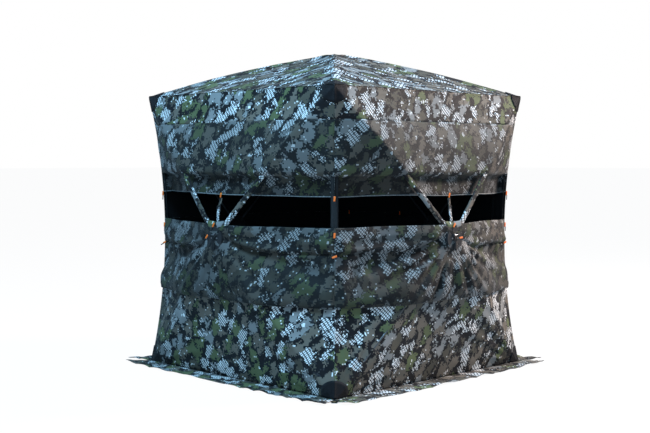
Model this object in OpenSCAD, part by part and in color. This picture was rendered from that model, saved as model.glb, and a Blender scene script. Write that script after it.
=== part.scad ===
// Pop-up ground blind: a square fabric shell on five hubs, each with four sprung rods.
// Millimetres, +Z up, origin on the ground under the middle of the roof.
// The front wall faces -Y, the right wall +X, the back wall +Y and the left wall -X.

/* [Shell] */
// Distance between neighbouring corner points
side = 1500; // [1250:10:1900]
// Height of the eave corners above the ground
eave_h = 1540; // [1280:10:1900]
// Rise of the roof hub above the eave corners
roof_rise = 235; // [190:5:290]
// How far a wall hub stands out of its corner plane
wall_push = 133; // [105:1:165]
// How far the free corner edges are pulled in at mid height, along each wall
corner_bow = 60; // [40:1:75]
// Width of the skirt that lies on the ground
skirt_w = 158; // [130:1:200]

/* [Curtains, heights above the ground] */
// Seam between the lower wall and the lower curtain
seam_z = 440; // [360:5:530]
// Height of the lower curtain's top edge above the wall hub
sill_up = 60; // [50:1:75]
// Height of the open upper curtain's hem above the wall hub
hem_up = 230; // [190:1:280]
// Depth of the band between the eave and the upper curtain
band_w = 155; // [125:1:190]

/* [Fabric] */
// Thickness of the fabric stand-in
skin_t = 2; // [1.5:0.1:3]
// Gap from a rod's moulded tip to the inside of the fabric
skin_clear = 4; // [4:0.5:7]
// Gap left where two panels meet
seam_gap = 0.5; // [0.4:0.1:0.8]
// Gap from a hub to the sides of the square hole that the fabric leaves round it
hub_clear = 18; // [16:1:30]

/* [Rods] */
// Diameter of a fibreglass rod
rod_d = 11; // [9:0.5:12]
// Outward bow of a wall rod
wall_bow = 12; // [8:1:16]
// Outward bow of a roof rod
roof_bow = 22; // [16:1:26]
// Distance that a rod's tip stops short of its corner point
tip_gap = 45; // [42:1:60]
// Length of the moulded tip
tip_len = 40; // [30:1:48]
// Wall of the moulded tip round the rod
tip_wall = 2.5; // [1.5:0.5:3.5]
// Wall of the ferrule that holds the rod at the hub
ferrule_wall = 1.3; // [1:0.1:2]
// Length from the pivot to the end of the ferrule
ferrule_len = 60; // [48:1:75]
// Diameter of the ferrule's eye
eye_d = 16; // [14:0.5:18]

/* [Hub] */
// Radius of the hub housing
hub_r = 60; // [58:0.5:66]
// Thickness of the hub housing
hub_t = 25; // [24:0.5:29]
// Distance of the pivot pins from the housing's rim
pivot_inset = 14; // [13:0.5:16]
// Gap on each side of a ferrule in its slot
slot_clear = 0.8; // [0.6:0.1:1.2]
// Gap between a ferrule's eye and the floor of its slot
eye_clear = 5; // [3:0.5:6]
// Diameter of a pivot pin
pin_d = 6; // [5:0.1:6.6]
// Radial clearance of a ferrule's eye on its pin
pin_clear = 0.05; // [0.03:0.01:0.08]
// Thickness of the hub cover
cover_t = 4; // [3:0.5:5]
// Diameter of a cover screw
screw_d = 5; // [4:0.5:6]
// Distance of the cover screws from the slots' floors
screw_inset = 11; // [9:0.5:13]

/* [Pull handle] */
// Length of the handle below its pin
handle_len = 84; // [70:1:86]
// Width of the handle's webbing
handle_w = 24; // [20:0.5:26]
// Thickness of the handle's webbing
handle_t = 3; // [2:0.5:4]
// Thickness of the handle's grip sleeve
grip_t = 9; // [7:0.5:10]
// Diameter of the handle's pin
handle_pin_d = 5; // [4:0.5:6]
// Height of the handle's pin above the hub's middle
handle_up = 18; // [12:1:22]
// Gap between the handle and the cover behind it and the lugs beside it
handle_clear = 3; // [2:0.5:4]
// Width of the cover's lugs
lug_w = 5; // [4:0.5:7]

/* [Corners] */
// Reach of a corner patch along the edges
patch_r = 84; // [70:1:100]
// Width of the webbing down each corner
webbing_w = 38; // [25:1:45]
// Width of the straps above the wall hubs
strap_w = 18; // [15:0.5:24]
// Thickness of all webbing
webbing_t = 2; // [1.5:0.1:2.5]
// Radius of the hole in a stake grommet
grommet_r = 6; // [5:0.5:8]
// Width of the rim of a stake grommet
grommet_rim = 5; // [4:0.5:6]
// Width of a stake loop
loop_w = 30; // [28:1:34]
// Distance from a corner point to its stake hole, along X and along Y
stake_out = 45; // [42:1:60]

/* [Door] */
// Distance of the door's inner edge from the wall's middle
door_in = 150; // [140:1:180]
// Distance of the door's hinge from the corner's edge, at mid height
door_margin = 78; // [65:1:120]
// Gap between the door and the fabric round it
door_gap = 3; // [2:0.5:5]
// Distance that the door keeps from the rods, measured upwards
door_rod_gap = 85; // [75:1:110]
// Radius of the piping along the door's hinge
piping_r = 4; // [3:0.5:5]
// Width of the tape inside the door's edge
tape_w = 22; // [16:1:28]

/* [Toggles] */
// Distance of the inner toggles from the wall's middle
toggle_in = 172; // [150:1:200]
// Distance of the outer toggles from the corner points
toggle_out = 202; // [160:1:240]
// Width of a toggle
toggle_w = 10; // [8:0.5:14]
// Thickness of a toggle
toggle_t = 5; // [4:0.5:6]
// Length of a toggle
toggle_len = 26; // [20:1:30]

/* [Hidden] */
$fn = 48;

eye_lip = 0.2;
curtain_gap = 5;
half = side / 2;
hub_z = eave_h / 2;
ferrule_d = rod_d + 2 * ferrule_wall;
tip_d = rod_d + 2 * tip_wall;
eye_w = ferrule_d + 2 * eye_lip;
slot_w = eye_w + 2 * slot_clear;
pivot_r = hub_r - pivot_inset;
core_r = pivot_r - eye_d / 2 - eye_clear;
screw_r = core_r - screw_inset;
skin_gap = tip_d / 2 + skin_clear;
hub_hole = hub_r + hub_clear;
door_hinge = half - corner_bow - door_margin;
door_slope = -(wall_push + corner_bow) / (half - corner_bow);
sill_z = hub_z + sill_up;
open_hem_z = hub_z + hem_up;
closed_hem_z = sill_z + curtain_gap;
band_z = eave_h - band_w;
upper_mid_z = (open_hem_z + band_z) / 2;
wall_reach = norm([half, hub_z]);
roof_reach = half * sqrt(2);
wall_chord = norm([wall_reach - pivot_r, wall_push]);
roof_chord = norm([roof_reach - pivot_r, roof_rise]);
wall_tilt = atan(wall_push / (wall_reach - pivot_r));
roof_tilt = atan(roof_rise / (roof_reach - pivot_r));
corner_angle = atan(hub_z / half);
cover_face = hub_t / 2 + cover_t;
handle_face = cover_face + grip_t / 2 + handle_clear;
lug_x = handle_w / 2 + handle_clear;
least_width = 10;
tape_gap = 3;
barrel_t = 2.5;
flange_t = 1.5;
seat_gap = 0.1;
screw_in = 9;
screw_head_t = 2.4;
lug_wall = 3.5;
lug_r = handle_pin_d / 2 + lug_wall;
ring_wall = 2.5;
rod_inset = 1.2;
pin_end_gap = 3;
patch_t = 1.2;
patch_gap = 1.2;
patch_lift = skin_gap + skin_t + patch_gap;
patch_round = 0.75;
last_ring = 0.75;
base_z = skin_t + 0.5;

FRONT = 0;
RIGHT = 1;
BACK = 2;
LEFT = 3;
camo = [0.30, 0.33, 0.30];
camo_dim = [0.20, 0.23, 0.21];
black = [0.08, 0.08, 0.09];
orange = [0.95, 0.35, 0.08];
rod_grey = [0.25, 0.26, 0.27];
steel = [0.6, 0.6, 0.62];
brass = [0.7, 0.6, 0.35];

// ---- Places on the shell -------------------------------------------------------------------
// A wall is drawn as the front wall, seen from outside, and turned to its side.
// A spot is a point in the rods' surface and the direction in which the fabric lifts off it.

// 0 at the height of the wall hub, 1 at the eave and at the ground
function share(z) = abs(z - hub_z) / hub_z;
function rise_of(bow, s) = 4 * bow * s * (1 - s);
function height_on_rod(s, push, flat) = push * (1 - max(0, (s - flat) / (1 - flat)));
function rod_x(z) = half * share(z);
function rod_out(z) = height_on_rod(share(z), wall_push, pivot_r / wall_reach)
    + rise_of(wall_bow, share(z));
function edge_x(z) = half - corner_bow * (1 - pow(share(z), 2));
function roof_z(s) = eave_h + height_on_rod(s, roof_rise, pivot_r / roof_reach)
    + rise_of(roof_bow, s);

function lift_dir(z, t) = [t, -1, z >= eave_h ? 1 : 0];
function rod_spot(z) = [[rod_x(z), -(half + rod_out(z)), z], lift_dir(z, z >= eave_h ? 1 : 0)];
function edge_spot(z) = [[edge_x(z), -edge_x(z), z], lift_dir(z, 1)];
function between(a, b, t) = [a[0] + t * (b[0] - a[0]), a[1] + t * (b[1] - a[1])];
function side_spot(x, z) = between(
    rod_spot(z), edge_spot(z), (x - rod_x(z)) / (edge_x(z) - rod_x(z)));
function roof_spot(s) = s == 1 ? edge_spot(eave_h)
    : [[half * s, -half * s, roof_z(s)], [0, 0, 1]];
function flipped(spot) = [[-spot[0].x, spot[0].y, spot[0].z], [-spot[1].x, spot[1].y, spot[1].z]];
function inner_spot(z) = rod_x(z) >= hub_hole ? rod_spot(z) : side_spot(hub_hole, z);

function total(list, i = 0) = i < len(list) ? list[i] + total(list, i + 1) : 0;
function unit(v) = v / norm(v);

// A ring of points with every edge moved inwards by a distance
function inset(ring, d) = [for (i = [0:len(ring) - 1])
    let (
        n = len(ring),
        p = ring[i],
        a = unit(ring[(i + 1) % n] - p),
        b = unit(ring[(i + n - 1) % n] - p)
    ) p + d * (a + b) / max(norm(cross(a, b)), 0.02)];

// Both panels at a seam split its side face along the same diagonal
function runs_up(p, q) = abs(p.z - q.z) > 0.01 ? p.z < q.z : abs(p.x) < abs(q.x);

module on_wall(k) {
    rotate([0, 0, 90 * k]) children();
}

module at_corners() {
    for (k = [0:3]) on_wall(k) children();
}

module at_wall_hub(k) {
    on_wall(k) translate([0, -(half + wall_push), hub_z]) rotate([90, 0, 0]) children();
}

module at_roof_hub() {
    translate([0, 0, eave_h + roof_rise]) children();
}

// The roof hub's cover faces down, so that its handle hangs inside
module under_roof_hub() {
    at_roof_hub() mirror([0, 0, 1]) children();
}

// ---- Fabric panels -------------------------------------------------------------------------
// One flat panel through spots that run anticlockwise, seen from outside
module slab(spots, lift = skin_gap, thick = skin_t) {
    n = len(spots);
    inner = inset([for (s = spots) s[0] + lift * s[1]], seam_gap / 2);
    outer = inset([for (s = spots) s[0] + (lift + thick) * s[1]], seam_gap / 2);
    fan_in = [for (i = [1:n - 2]) [0, i, i + 1]];
    fan_out = [for (i = [1:n - 2]) [n, n + i + 1, n + i]];
    rim = [for (i = [0:n - 1]) let (j = (i + 1) % n)
        each runs_up(spots[i][0], spots[j][0])
            ? [[i, n + i, n + j], [i, n + j, j]]
            : [[i, n + i, j], [n + i, n + j, j]]];
    polyhedron(concat(inner, outer), concat(fan_in, fan_out, rim));
}

// The part of a wall's side, on +X, between two heights
module side_cells(low, high) {
    a = inner_spot(low);
    b = edge_spot(low);
    c = edge_spot(high);
    d = inner_spot(high);
    low_point = b[0].x - a[0].x < least_width;
    high_point = c[0].x - d[0].x < least_width;
    if (low_point) slab([b, c, d]);
    else if (high_point) slab([a, b, c]);
    else {
        slab([a, b, c]);
        slab([a, c, d]);
    }
}

// The part of a wall between its rods, between two heights on one side of the hub
module middle_cell(low, high) {
    slab([flipped(rod_spot(low)), rod_spot(low), rod_spot(high), flipped(rod_spot(high))]);
}

module wall_strip(levels, left = true) {
    for (i = [0:len(levels) - 2]) {
        low = levels[i];
        high = levels[i + 1];
        below = min(high, hub_z - hub_hole);
        above = max(low, hub_z + hub_hole);
        if (low < below && low < hub_z) middle_cell(low, below);
        if (above < high) middle_cell(above, high);
        side_cells(low, high);
        if (left) mirror([1, 0, 0]) side_cells(low, high);
    }
}

module roof_canopy() {
    rings = [hub_hole / half, 0.25, 0.5, last_ring, 1];
    color(camo) at_corners() for (i = [0:3])
        slab([
            flipped(roof_spot(rings[i + 1])), roof_spot(rings[i + 1]),
            roof_spot(rings[i]), flipped(roof_spot(rings[i]))]);
}

module eave_band() {
    color(camo) for (k = [FRONT, RIGHT, LEFT]) on_wall(k) wall_strip([band_z, eave_h]);
    color(camo) on_wall(BACK) wall_strip([band_z, eave_h], left = false);
}

module upper_curtain() {
    levels = [open_hem_z, upper_mid_z, band_z];
    closed = concat([closed_hem_z, hub_z + hub_hole], levels);
    color(camo_dim) {
        on_wall(FRONT) wall_strip(levels);
        on_wall(RIGHT) wall_strip(levels);
        on_wall(BACK) wall_strip(closed, left = false);
        on_wall(LEFT) wall_strip(closed);
    }
}

module lower_curtain() {
    levels = [seam_z, hub_z - hub_hole, hub_z, sill_z];
    color(camo_dim) {
        on_wall(FRONT) wall_strip(levels);
        on_wall(RIGHT) wall_strip(levels);
        on_wall(BACK) wall_strip(levels, left = false);
        on_wall(LEFT) wall_strip(levels);
    }
}

module lower_wall(k) {
    color(camo) on_wall(k) {
        wall_strip([base_z, seam_z], left = k != BACK);
        if (k == BACK) mirror([1, 0, 0]) door_surround();
    }
}

module ground_skirt() {
    inner = half + skin_gap;
    color(camo_dim) at_corners()
        translate([-half, -(inner + skirt_w - seam_gap), 0])
            cube([side, skirt_w - seam_gap, skin_t]);
}

// ---- Door, in the side of the back wall ------------------------------------------------------
function rod_rise(x) = hub_z * x / half;
function door_rise(x) = rod_rise(x) - door_rod_gap;
function door_out(x) = wall_push + door_slope * x;
function door_spot(x, up) = [[x, -(half + door_out(x)), hub_z + up], [0, -1, 0]];
function on_rod(x, up) = rod_spot(hub_z + up * rod_rise(x));

// Fabric round the door's opening. The door keeps clear of it by its piping and its gap.
module door_surround() {
    x0 = door_in - door_gap;
    x1 = door_hinge + piping_r + door_gap;
    for (up = [-1, 1]) {
        far = hub_z + up * rod_rise(x1);
        top = up > 0 ? eave_h : base_z;
        edge_z = hub_z + up * door_rise(x1);
        edge_mid = edge_spot((edge_z + hub_z) / 2);
        inner = door_spot(x0, up * (door_rise(x0) + door_gap));
        outer = door_spot(x1, up * (door_rise(x1) + door_gap));
        cells = [
            [inner, outer, rod_spot(far)],
            [inner, rod_spot(far), on_rod(x0, up)],
            [rod_spot(far), outer, edge_spot(edge_z)],
            [rod_spot(far), edge_spot(edge_z), edge_spot(top)],
            [outer, edge_mid, edge_spot(edge_z)],
            [outer, door_spot(x1, 0), edge_mid],
            [door_spot(x1, 0), edge_spot(hub_z), edge_mid],
            [inner, on_rod(x0, up), inner_spot(hub_z + up * hub_hole)],
            [inner, inner_spot(hub_z + up * hub_hole), side_spot(hub_hole, hub_z)],
            [inner, side_spot(hub_hole, hub_z), door_spot(x0, 0)]
        ];
        for (cell = cells) slab(turned(cell));
    }
}

// The spots in the order that runs anticlockwise, seen from outside
function turned(cell) = signed_area(cell) > 0 ? cell : [for (i = [len(cell) - 1:-1:0]) cell[i]];
function signed_area(cell) = total([for (i = [0:len(cell) - 1])
    let (p = cell[i][0], q = cell[(i + 1) % len(cell)][0]) p.x * q.z - q.x * p.z]);

module door_outline(in, grow) {
    polygon([
        [in, door_rise(in) + grow], [door_hinge, door_rise(door_hinge) + grow],
        [door_hinge, -door_rise(door_hinge) - grow], [in, -door_rise(in) - grow]]);
}

// Lays a flat outline, drawn as X along the wall and Y up from the hub, in the door's plane
module in_door_plane(lift, thick) {
    stretch = norm([1, door_slope]);
    translate([door_in, -(half + door_out(door_in)), hub_z])
        rotate([0, 0, -atan(door_slope)])
            rotate([90, 0, 0])
                translate([0, 0, lift])
                    linear_extrude(thick)
                        scale([stretch, 1])
                            translate([-door_in, 0]) children();
}

module door_panel() {
    rise = door_rise(door_hinge) - piping_r;
    color(camo) on_wall(BACK) mirror([1, 0, 0]) {
        in_door_plane(skin_gap, skin_t) door_outline(door_in, 0);
        translate([door_hinge, -(half + door_out(door_hinge) + skin_gap + skin_t / 2), hub_z - rise])
            cylinder(r = piping_r, h = 2 * rise);
    }
}

module door_tape() {
    rise = door_rise(door_hinge);
    color(black) on_wall(BACK) mirror([1, 0, 0])
        in_door_plane(skin_gap - tape_gap - webbing_t, webbing_t) difference() {
            door_outline(door_in, 0);
            translate([tape_w, 0]) offset(delta = -tape_w) door_outline(door_in - tape_w, 0);
        }
}

module door_toggles() {
    color(orange) on_wall(BACK) mirror([1, 0, 0])
        for (up = [-1, 0, 1]) {
            x = door_in + toggle_len + abs(up) * door_in;
            in_door_plane(skin_gap + skin_t, toggle_t)
                translate([x, up * (door_rise(x) - toggle_len)])
                    square([toggle_len, toggle_w], center = true);
        }
}

// ---- Trim ------------------------------------------------------------------------------------
module corner_patches() {
    color(black) at_corners() for (flip = [0, 1]) mirror([flip, 0, 0]) {
        wall_patch(eave_h, band_z);
        wall_patch(base_z, seam_z);
        corner = edge_spot(eave_h);
        patch([
            between(corner, flipped(corner), patch_r / side), corner,
            between(corner, roof_spot(last_ring), patch_r / (half * (1 - last_ring)))]);
    }
}

// Both faces of a wall's corner, between a corner and the next level's spots
module wall_patch(corner_z, next_z) {
    down = patch_r / abs(next_z - corner_z);
    edge = edge_spot(corner_z);
    rod = rod_spot(corner_z);
    patch(turned([
        edge, between(edge, edge_spot(next_z), down),
        between(edge, rod_spot(next_z), patch_round * down)]));
    patch(turned([
        rod, between(rod, rod_spot(next_z), patch_round * down),
        between(rod, flipped(rod), patch_r / side)]));
}

module patch(spots) {
    slab(spots, patch_lift, patch_t);
}

// A flat strip across the inside of each corner, from the ground to the eave
module corner_webbing() {
    end = tip_gap + tip_d;
    levels = [end, hub_z * 0.5, hub_z, hub_z * 1.5, eave_h - end];
    color(black) at_corners()
        for (i = [0:3])
            webbing_run(edge_x(levels[i]) - skin_gap, levels[i],
                edge_x(levels[i + 1]) - skin_gap, levels[i + 1]);
}

module webbing_run(x0, z0, x1, z1) {
    w = webbing_w / 2 / sqrt(2);
    t = webbing_t / sqrt(2);
    gap = seam_gap / 2;
    function ring(x, z) = [
        [x - w, -x - w, z], [x + w, -x + w, z],
        [x + w - t, -x + w + t, z], [x - w - t, -x - w + t, z]];
    points = concat(ring(x0, z0 + gap), ring(x1, z1 - gap));
    polyhedron(points, [[0, 1, 2], [0, 2, 3], [4, 6, 5], [4, 7, 6],
        for (i = [0:3]) let (j = (i + 1) % 4) each [[i, i + 4, j + 4], [i, j + 4, j]]]);
}

module at_stakes() {
    at_corners() translate([half + stake_out, -half - stake_out, 0]) rotate([0, 0, -45]) children();
}

module stake_loops() {
    back = (stake_out - skin_gap - skin_t) * sqrt(2) - 1;
    rim = grommet_r + grommet_rim;
    color(black) at_stakes() difference() {
        translate([-back, -loop_w / 2, 0]) cube([back + 2 * rim, loop_w, webbing_t]);
        translate([0, 0, -1]) cylinder(r = grommet_r + barrel_t, h = webbing_t + 2);
    }
}

module stake_grommets() {
    rim = grommet_r + grommet_rim;
    color(brass) at_stakes() difference() {
        union() {
            cylinder(r = grommet_r + barrel_t, h = webbing_t + seat_gap);
            translate([0, 0, webbing_t + seat_gap]) cylinder(r = rim, h = flange_t);
        }
        translate([0, 0, -1]) cylinder(r = grommet_r, h = webbing_t + flange_t + 2);
    }
}

// Small tabs that hook the curtains up, at the corners and across the open windows
module curtain_toggles() {
    lift = patch_lift + patch_t + toggle_t / 2;
    sizes = [toggle_w, toggle_t, toggle_len];
    color(orange) {
        for (k = [FRONT, RIGHT], x = [toggle_in, half - toggle_out]) {
            hook = side_spot(x, sill_z + toggle_len / 2)[0];
            hem = side_spot(x, open_hem_z - toggle_len)[0];
            on_wall(k) translate([hook.x, hook.y - lift, hook.z]) cube(sizes, center = true);
            on_wall(k) translate([-hem.x, hem.y - lift, hem.z]) cube(sizes, center = true);
        }
        for (z = [open_hem_z - toggle_len / 2, sill_z - toggle_len / 2, sill_z - 4 * toggle_len]) {
            out = edge_x(z) + lift;
            at_corners() translate([out, -out, z]) rotate([0, 0, 45]) cube(sizes, center = true);
        }
    }
}

// A webbing strap from each open curtain's hem down to the hub below it
module hub_straps() {
    low = hub_z + hub_r + handle_clear;
    high = open_hem_z - handle_clear;
    y = half + wall_push + webbing_t;
    color(camo_dim) for (k = [FRONT, RIGHT]) on_wall(k)
        translate([-strap_w / 2, -y - webbing_t, low]) cube([strap_w, webbing_t, high - low]);
}

// ---- Hub, drawn with its outward axis along +Z -------------------------------------------------
module hub_housing(angles) {
    color(black) difference() {
        translate([0, 0, -hub_t / 2]) cylinder(r = hub_r, h = hub_t);
        for (a = angles) rotate([0, 0, a]) {
            translate([core_r, -slot_w / 2, -hub_t]) cube([hub_r, slot_w, 2 * hub_t]);
            translate([pivot_r, -hub_r, 0]) rotate([-90, 0, 0]) cylinder(d = pin_d, h = 2 * hub_r);
        }
        at_screws() translate([0, 0, hub_t / 2 - screw_in - 1]) cylinder(d = screw_d, h = hub_t);
    }
}

module at_screws() {
    for (a = [0:90:270]) rotate([0, 0, a]) translate([screw_r, 0, 0]) children();
}

module hub_cover() {
    color(black) difference() {
        union() {
            translate([0, 0, hub_t / 2 + seat_gap]) cylinder(r = hub_r, h = cover_t - seat_gap);
            for (x = [-lug_x - lug_w, lug_x]) translate([x, handle_up, 0]) {
                translate([0, -lug_r, cover_face - 1])
                    cube([lug_w, 2 * lug_r, handle_face - cover_face + 1]);
                translate([0, 0, handle_face]) rotate([0, 90, 0]) cylinder(r = lug_r, h = lug_w);
            }
        }
        at_screws() cylinder(d = screw_d, h = cover_face + 1);
        translate([-hub_r, handle_up, handle_face]) rotate([0, 90, 0])
            cylinder(d = handle_pin_d, h = 2 * hub_r);
    }
}

// Pivot pins, cover screws and the handle's pin
module hub_pins(angles) {
    pin_len = 2 * sqrt(pow(hub_r - pin_end_gap, 2) - pow(pivot_r + pin_d / 2, 2));
    reach = lug_x + lug_w;
    head_d = 1.7 * screw_d;
    color(steel) {
        for (a = angles) rotate([0, 0, a])
            translate([pivot_r, -pin_len / 2, 0]) rotate([-90, 0, 0]) cylinder(d = pin_d, h = pin_len);
        at_screws() {
            translate([0, 0, hub_t / 2 - screw_in]) cylinder(d = screw_d, h = screw_in + cover_t);
            translate([0, 0, cover_face]) cylinder(d = head_d, h = screw_head_t);
        }
        translate([-reach, handle_up, handle_face]) rotate([0, 90, 0])
            cylinder(d = handle_pin_d, h = 2 * reach);
    }
}

// The handle lies along the cover, or is swung outwards about its pin
module pull_handle(swing = 0) {
    ring_r = handle_pin_d / 2 + ring_wall;
    sleeve = handle_len - 2 * handle_up;
    band = 0.84 * handle_w;
    color(black) translate([0, handle_up, handle_face]) rotate([-swing, 0, 0]) difference() {
        union() {
            translate([-handle_w / 2, 0, 0]) rotate([0, 90, 0]) cylinder(r = ring_r, h = handle_w);
            translate([-band / 2, -handle_len, -handle_t / 2])
                cube([band, handle_len, handle_t]);
            translate([-handle_w / 2, -handle_len, -grip_t / 2])
                cube([handle_w, sleeve, grip_t]);
        }
        translate([-handle_w, 0, 0]) rotate([0, 90, 0])
            cylinder(d = handle_pin_d + 2 * pin_clear, h = 2 * handle_w);
    }
}

// ---- Rod, drawn from its pivot along +X, bowing towards +Z ---------------------------------------
module rod(angle, tilt, chord, bow) {
    rotate([0, 0, angle]) translate([pivot_r, 0, 0]) rotate([0, tilt, 0]) {
        ferrule();
        rod_body(ferrule_len, chord - tip_gap - tip_len, bow);
        tip(chord - tip_gap - tip_len);
    }
}

module ferrule() {
    color(black) difference() {
        union() {
            translate([0, eye_w / 2, 0]) rotate([90, 0, 0]) cylinder(d = eye_d, h = eye_w);
            rotate([0, 90, 0]) cylinder(d = ferrule_d, h = ferrule_len);
        }
        translate([0, eye_w, 0]) rotate([90, 0, 0])
            cylinder(d = pin_d + 2 * pin_clear, h = 2 * eye_w);
    }
}

module rod_body(x0, x1, bow) {
    run = (x1 - x0) / 2;
    bend_r = (run * run + bow * bow) / (2 * bow);
    sweep = asin((run - rod_inset) / bend_r);
    color(rod_grey) translate([(x0 + x1) / 2, 0, bow - bend_r]) rotate([90, 0, 0])
        rotate([0, 0, 90 - sweep]) rotate_extrude(angle = 2 * sweep, $fn = 720)
            translate([bend_r, 0]) circle(d = rod_d);
}

module tip(x) {
    color(black) translate([x, 0, 0]) rotate([0, 90, 0]) {
        cylinder(d = tip_d, h = tip_len - tip_d / 4);
        translate([0, 0, tip_len - tip_d / 4]) cylinder(d1 = tip_d, d2 = tip_d / 2, h = tip_d / 4);
    }
}

function wall_rod_angles() = [
    corner_angle, 180 - corner_angle, 180 + corner_angle, 360 - corner_angle];
function roof_rod_angles() = [45, 135, 225, 315];

module wall_rod(k, i) {
    at_wall_hub(k) rod(wall_rod_angles()[i], wall_tilt, wall_chord, wall_bow);
}

module roof_rod(i) {
    at_roof_hub() rod(roof_rod_angles()[i], roof_tilt, roof_chord, roof_bow);
}

roof_canopy();
eave_band();
upper_curtain();
lower_curtain();
lower_wall(FRONT);  // lower_wall_front
lower_wall(RIGHT);  // lower_wall_right
lower_wall(BACK);  // lower_wall_back
lower_wall(LEFT);  // lower_wall_left
ground_skirt();
corner_patches();
corner_webbing();
stake_loops();
stake_grommets();
curtain_toggles();
hub_straps();
door_tape();
door_panel();
door_toggles();
under_roof_hub() hub_housing(roof_rod_angles());  // roof_hub_housing
under_roof_hub() hub_cover();  // roof_hub_cover
under_roof_hub() hub_pins(roof_rod_angles());  // roof_hub_pins
at_wall_hub(FRONT) hub_housing(wall_rod_angles());  // front_hub_housing
at_wall_hub(FRONT) hub_cover();  // front_hub_cover
at_wall_hub(FRONT) hub_pins(wall_rod_angles());  // front_hub_pins
at_wall_hub(RIGHT) hub_housing(wall_rod_angles());  // right_hub_housing
at_wall_hub(RIGHT) hub_cover();  // right_hub_cover
at_wall_hub(RIGHT) hub_pins(wall_rod_angles());  // right_hub_pins
at_wall_hub(BACK) hub_housing(wall_rod_angles());  // back_hub_housing
at_wall_hub(BACK) hub_cover();  // back_hub_cover
at_wall_hub(BACK) hub_pins(wall_rod_angles());  // back_hub_pins
at_wall_hub(LEFT) hub_housing(wall_rod_angles());  // left_hub_housing
at_wall_hub(LEFT) hub_cover();  // left_hub_cover
at_wall_hub(LEFT) hub_pins(wall_rod_angles());  // left_hub_pins
roof_rod(0);  // roof_rod_back_right
roof_rod(1);  // roof_rod_back_left
roof_rod(2);  // roof_rod_front_left
roof_rod(3);  // roof_rod_front_right
wall_rod(FRONT, 0);  // front_rod_top_right
wall_rod(FRONT, 1);  // front_rod_top_left
wall_rod(FRONT, 2);  // front_rod_low_left
wall_rod(FRONT, 3);  // front_rod_low_right
wall_rod(RIGHT, 0);  // right_rod_top_right
wall_rod(RIGHT, 1);  // right_rod_top_left
wall_rod(RIGHT, 2);  // right_rod_low_left
wall_rod(RIGHT, 3);  // right_rod_low_right
wall_rod(BACK, 0);  // back_rod_top_right
wall_rod(BACK, 1);  // back_rod_top_left
wall_rod(BACK, 2);  // back_rod_low_left
wall_rod(BACK, 3);  // back_rod_low_right
wall_rod(LEFT, 0);  // left_rod_top_right
wall_rod(LEFT, 1);  // left_rod_top_left
wall_rod(LEFT, 2);  // left_rod_low_left
wall_rod(LEFT, 3);  // left_rod_low_right
under_roof_hub() pull_handle(swing = 90);  // roof_pull_handle
at_wall_hub(FRONT) pull_handle();  // front_pull_handle
at_wall_hub(RIGHT) pull_handle();  // right_pull_handle
at_wall_hub(BACK) pull_handle();  // back_pull_handle
at_wall_hub(LEFT) pull_handle();  // left_pull_handle
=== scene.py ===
import math

import bmesh
import bpy
import numpy as np
from mathutils import Matrix, Vector, noise


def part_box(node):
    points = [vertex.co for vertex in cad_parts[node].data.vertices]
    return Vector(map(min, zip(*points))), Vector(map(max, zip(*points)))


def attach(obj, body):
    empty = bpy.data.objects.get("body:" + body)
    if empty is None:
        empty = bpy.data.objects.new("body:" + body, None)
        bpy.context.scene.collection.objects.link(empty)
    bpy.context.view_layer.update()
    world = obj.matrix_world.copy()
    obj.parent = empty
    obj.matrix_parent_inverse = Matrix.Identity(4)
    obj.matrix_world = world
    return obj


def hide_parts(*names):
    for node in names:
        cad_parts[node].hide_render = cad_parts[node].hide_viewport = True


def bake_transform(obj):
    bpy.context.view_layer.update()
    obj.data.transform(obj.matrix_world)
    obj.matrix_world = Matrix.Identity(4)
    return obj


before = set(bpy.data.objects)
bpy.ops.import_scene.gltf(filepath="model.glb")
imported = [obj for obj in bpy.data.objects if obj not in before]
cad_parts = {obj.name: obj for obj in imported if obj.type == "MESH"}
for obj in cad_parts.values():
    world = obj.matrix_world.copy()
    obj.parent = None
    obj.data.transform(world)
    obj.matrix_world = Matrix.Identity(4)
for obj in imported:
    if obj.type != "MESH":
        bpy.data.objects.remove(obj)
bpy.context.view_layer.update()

# ---- Driving sizes, in metres --------------------------------------------------------------------
HALF = 0.75                     # half the distance between corner points
CORNER_BOW = 0.060              # how far the corner edges are pulled in at mid height
WALL_BOW = 0.012                # outward bow of a wall rod
ROOF_BOW = 0.022                # upward bow of a roof rod
PIVOT_R = 0.046                 # circle of the rods' pivots in a hub
LIFT = 0.012                    # fabric's distance from the rods' axes
WALL_DISH = 0.016               # how far a wall dips between its rods, above and below the hub
SIDE_HOLLOW = 0.010             # how far it dips between the rods and the corner edge
ROOF_HOLLOW = 0.020             # how far the roof dips between its rods
CREASE = 0.006                  # how soft the crease over a rod is
CLOTH = 0.0012                  # thickness of the fabric with its coating
HEAVY = 0.0022                  # thickness of webbing and patches
SEAM_Z = 0.440                  # top of the lower wall
SILL_Z = 0.838                  # top edge of the lower curtain
HEM_Z = 1.000                   # hem of the open upper curtain
FOLD_Z = 1.105                  # where the open upper curtain tucks in behind the rods
BAND_Z = 1.385                  # seam under the eave band
SKIRT = 0.158                   # width of the skirt on the ground
PATCH_R = 0.090                 # radius of the corner patches
DOOR_IN = 0.150                 # door's inner edge, from the wall's middle
DOOR_HINGE = 0.612              # door's hinge, from the wall's middle
DOOR_ROD_GAP = 0.085            # the door keeps this far from the rods

hub_low, hub_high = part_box("front_hub_housing")
HUB_Z = (hub_low.z + hub_high.z) / 2
PUSH = -(hub_low.y + hub_high.y) / 2 - HALF
EAVE_Z = 2 * HUB_Z
roof_low, roof_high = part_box("roof_hub_housing")
RISE = (roof_low.z + roof_high.z) / 2 - EAVE_Z
HUB_R = (hub_high.x - hub_low.x) / 2
WALL_REACH = math.hypot(HALF, HUB_Z)
ROOF_REACH = HALF * math.sqrt(2)

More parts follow.
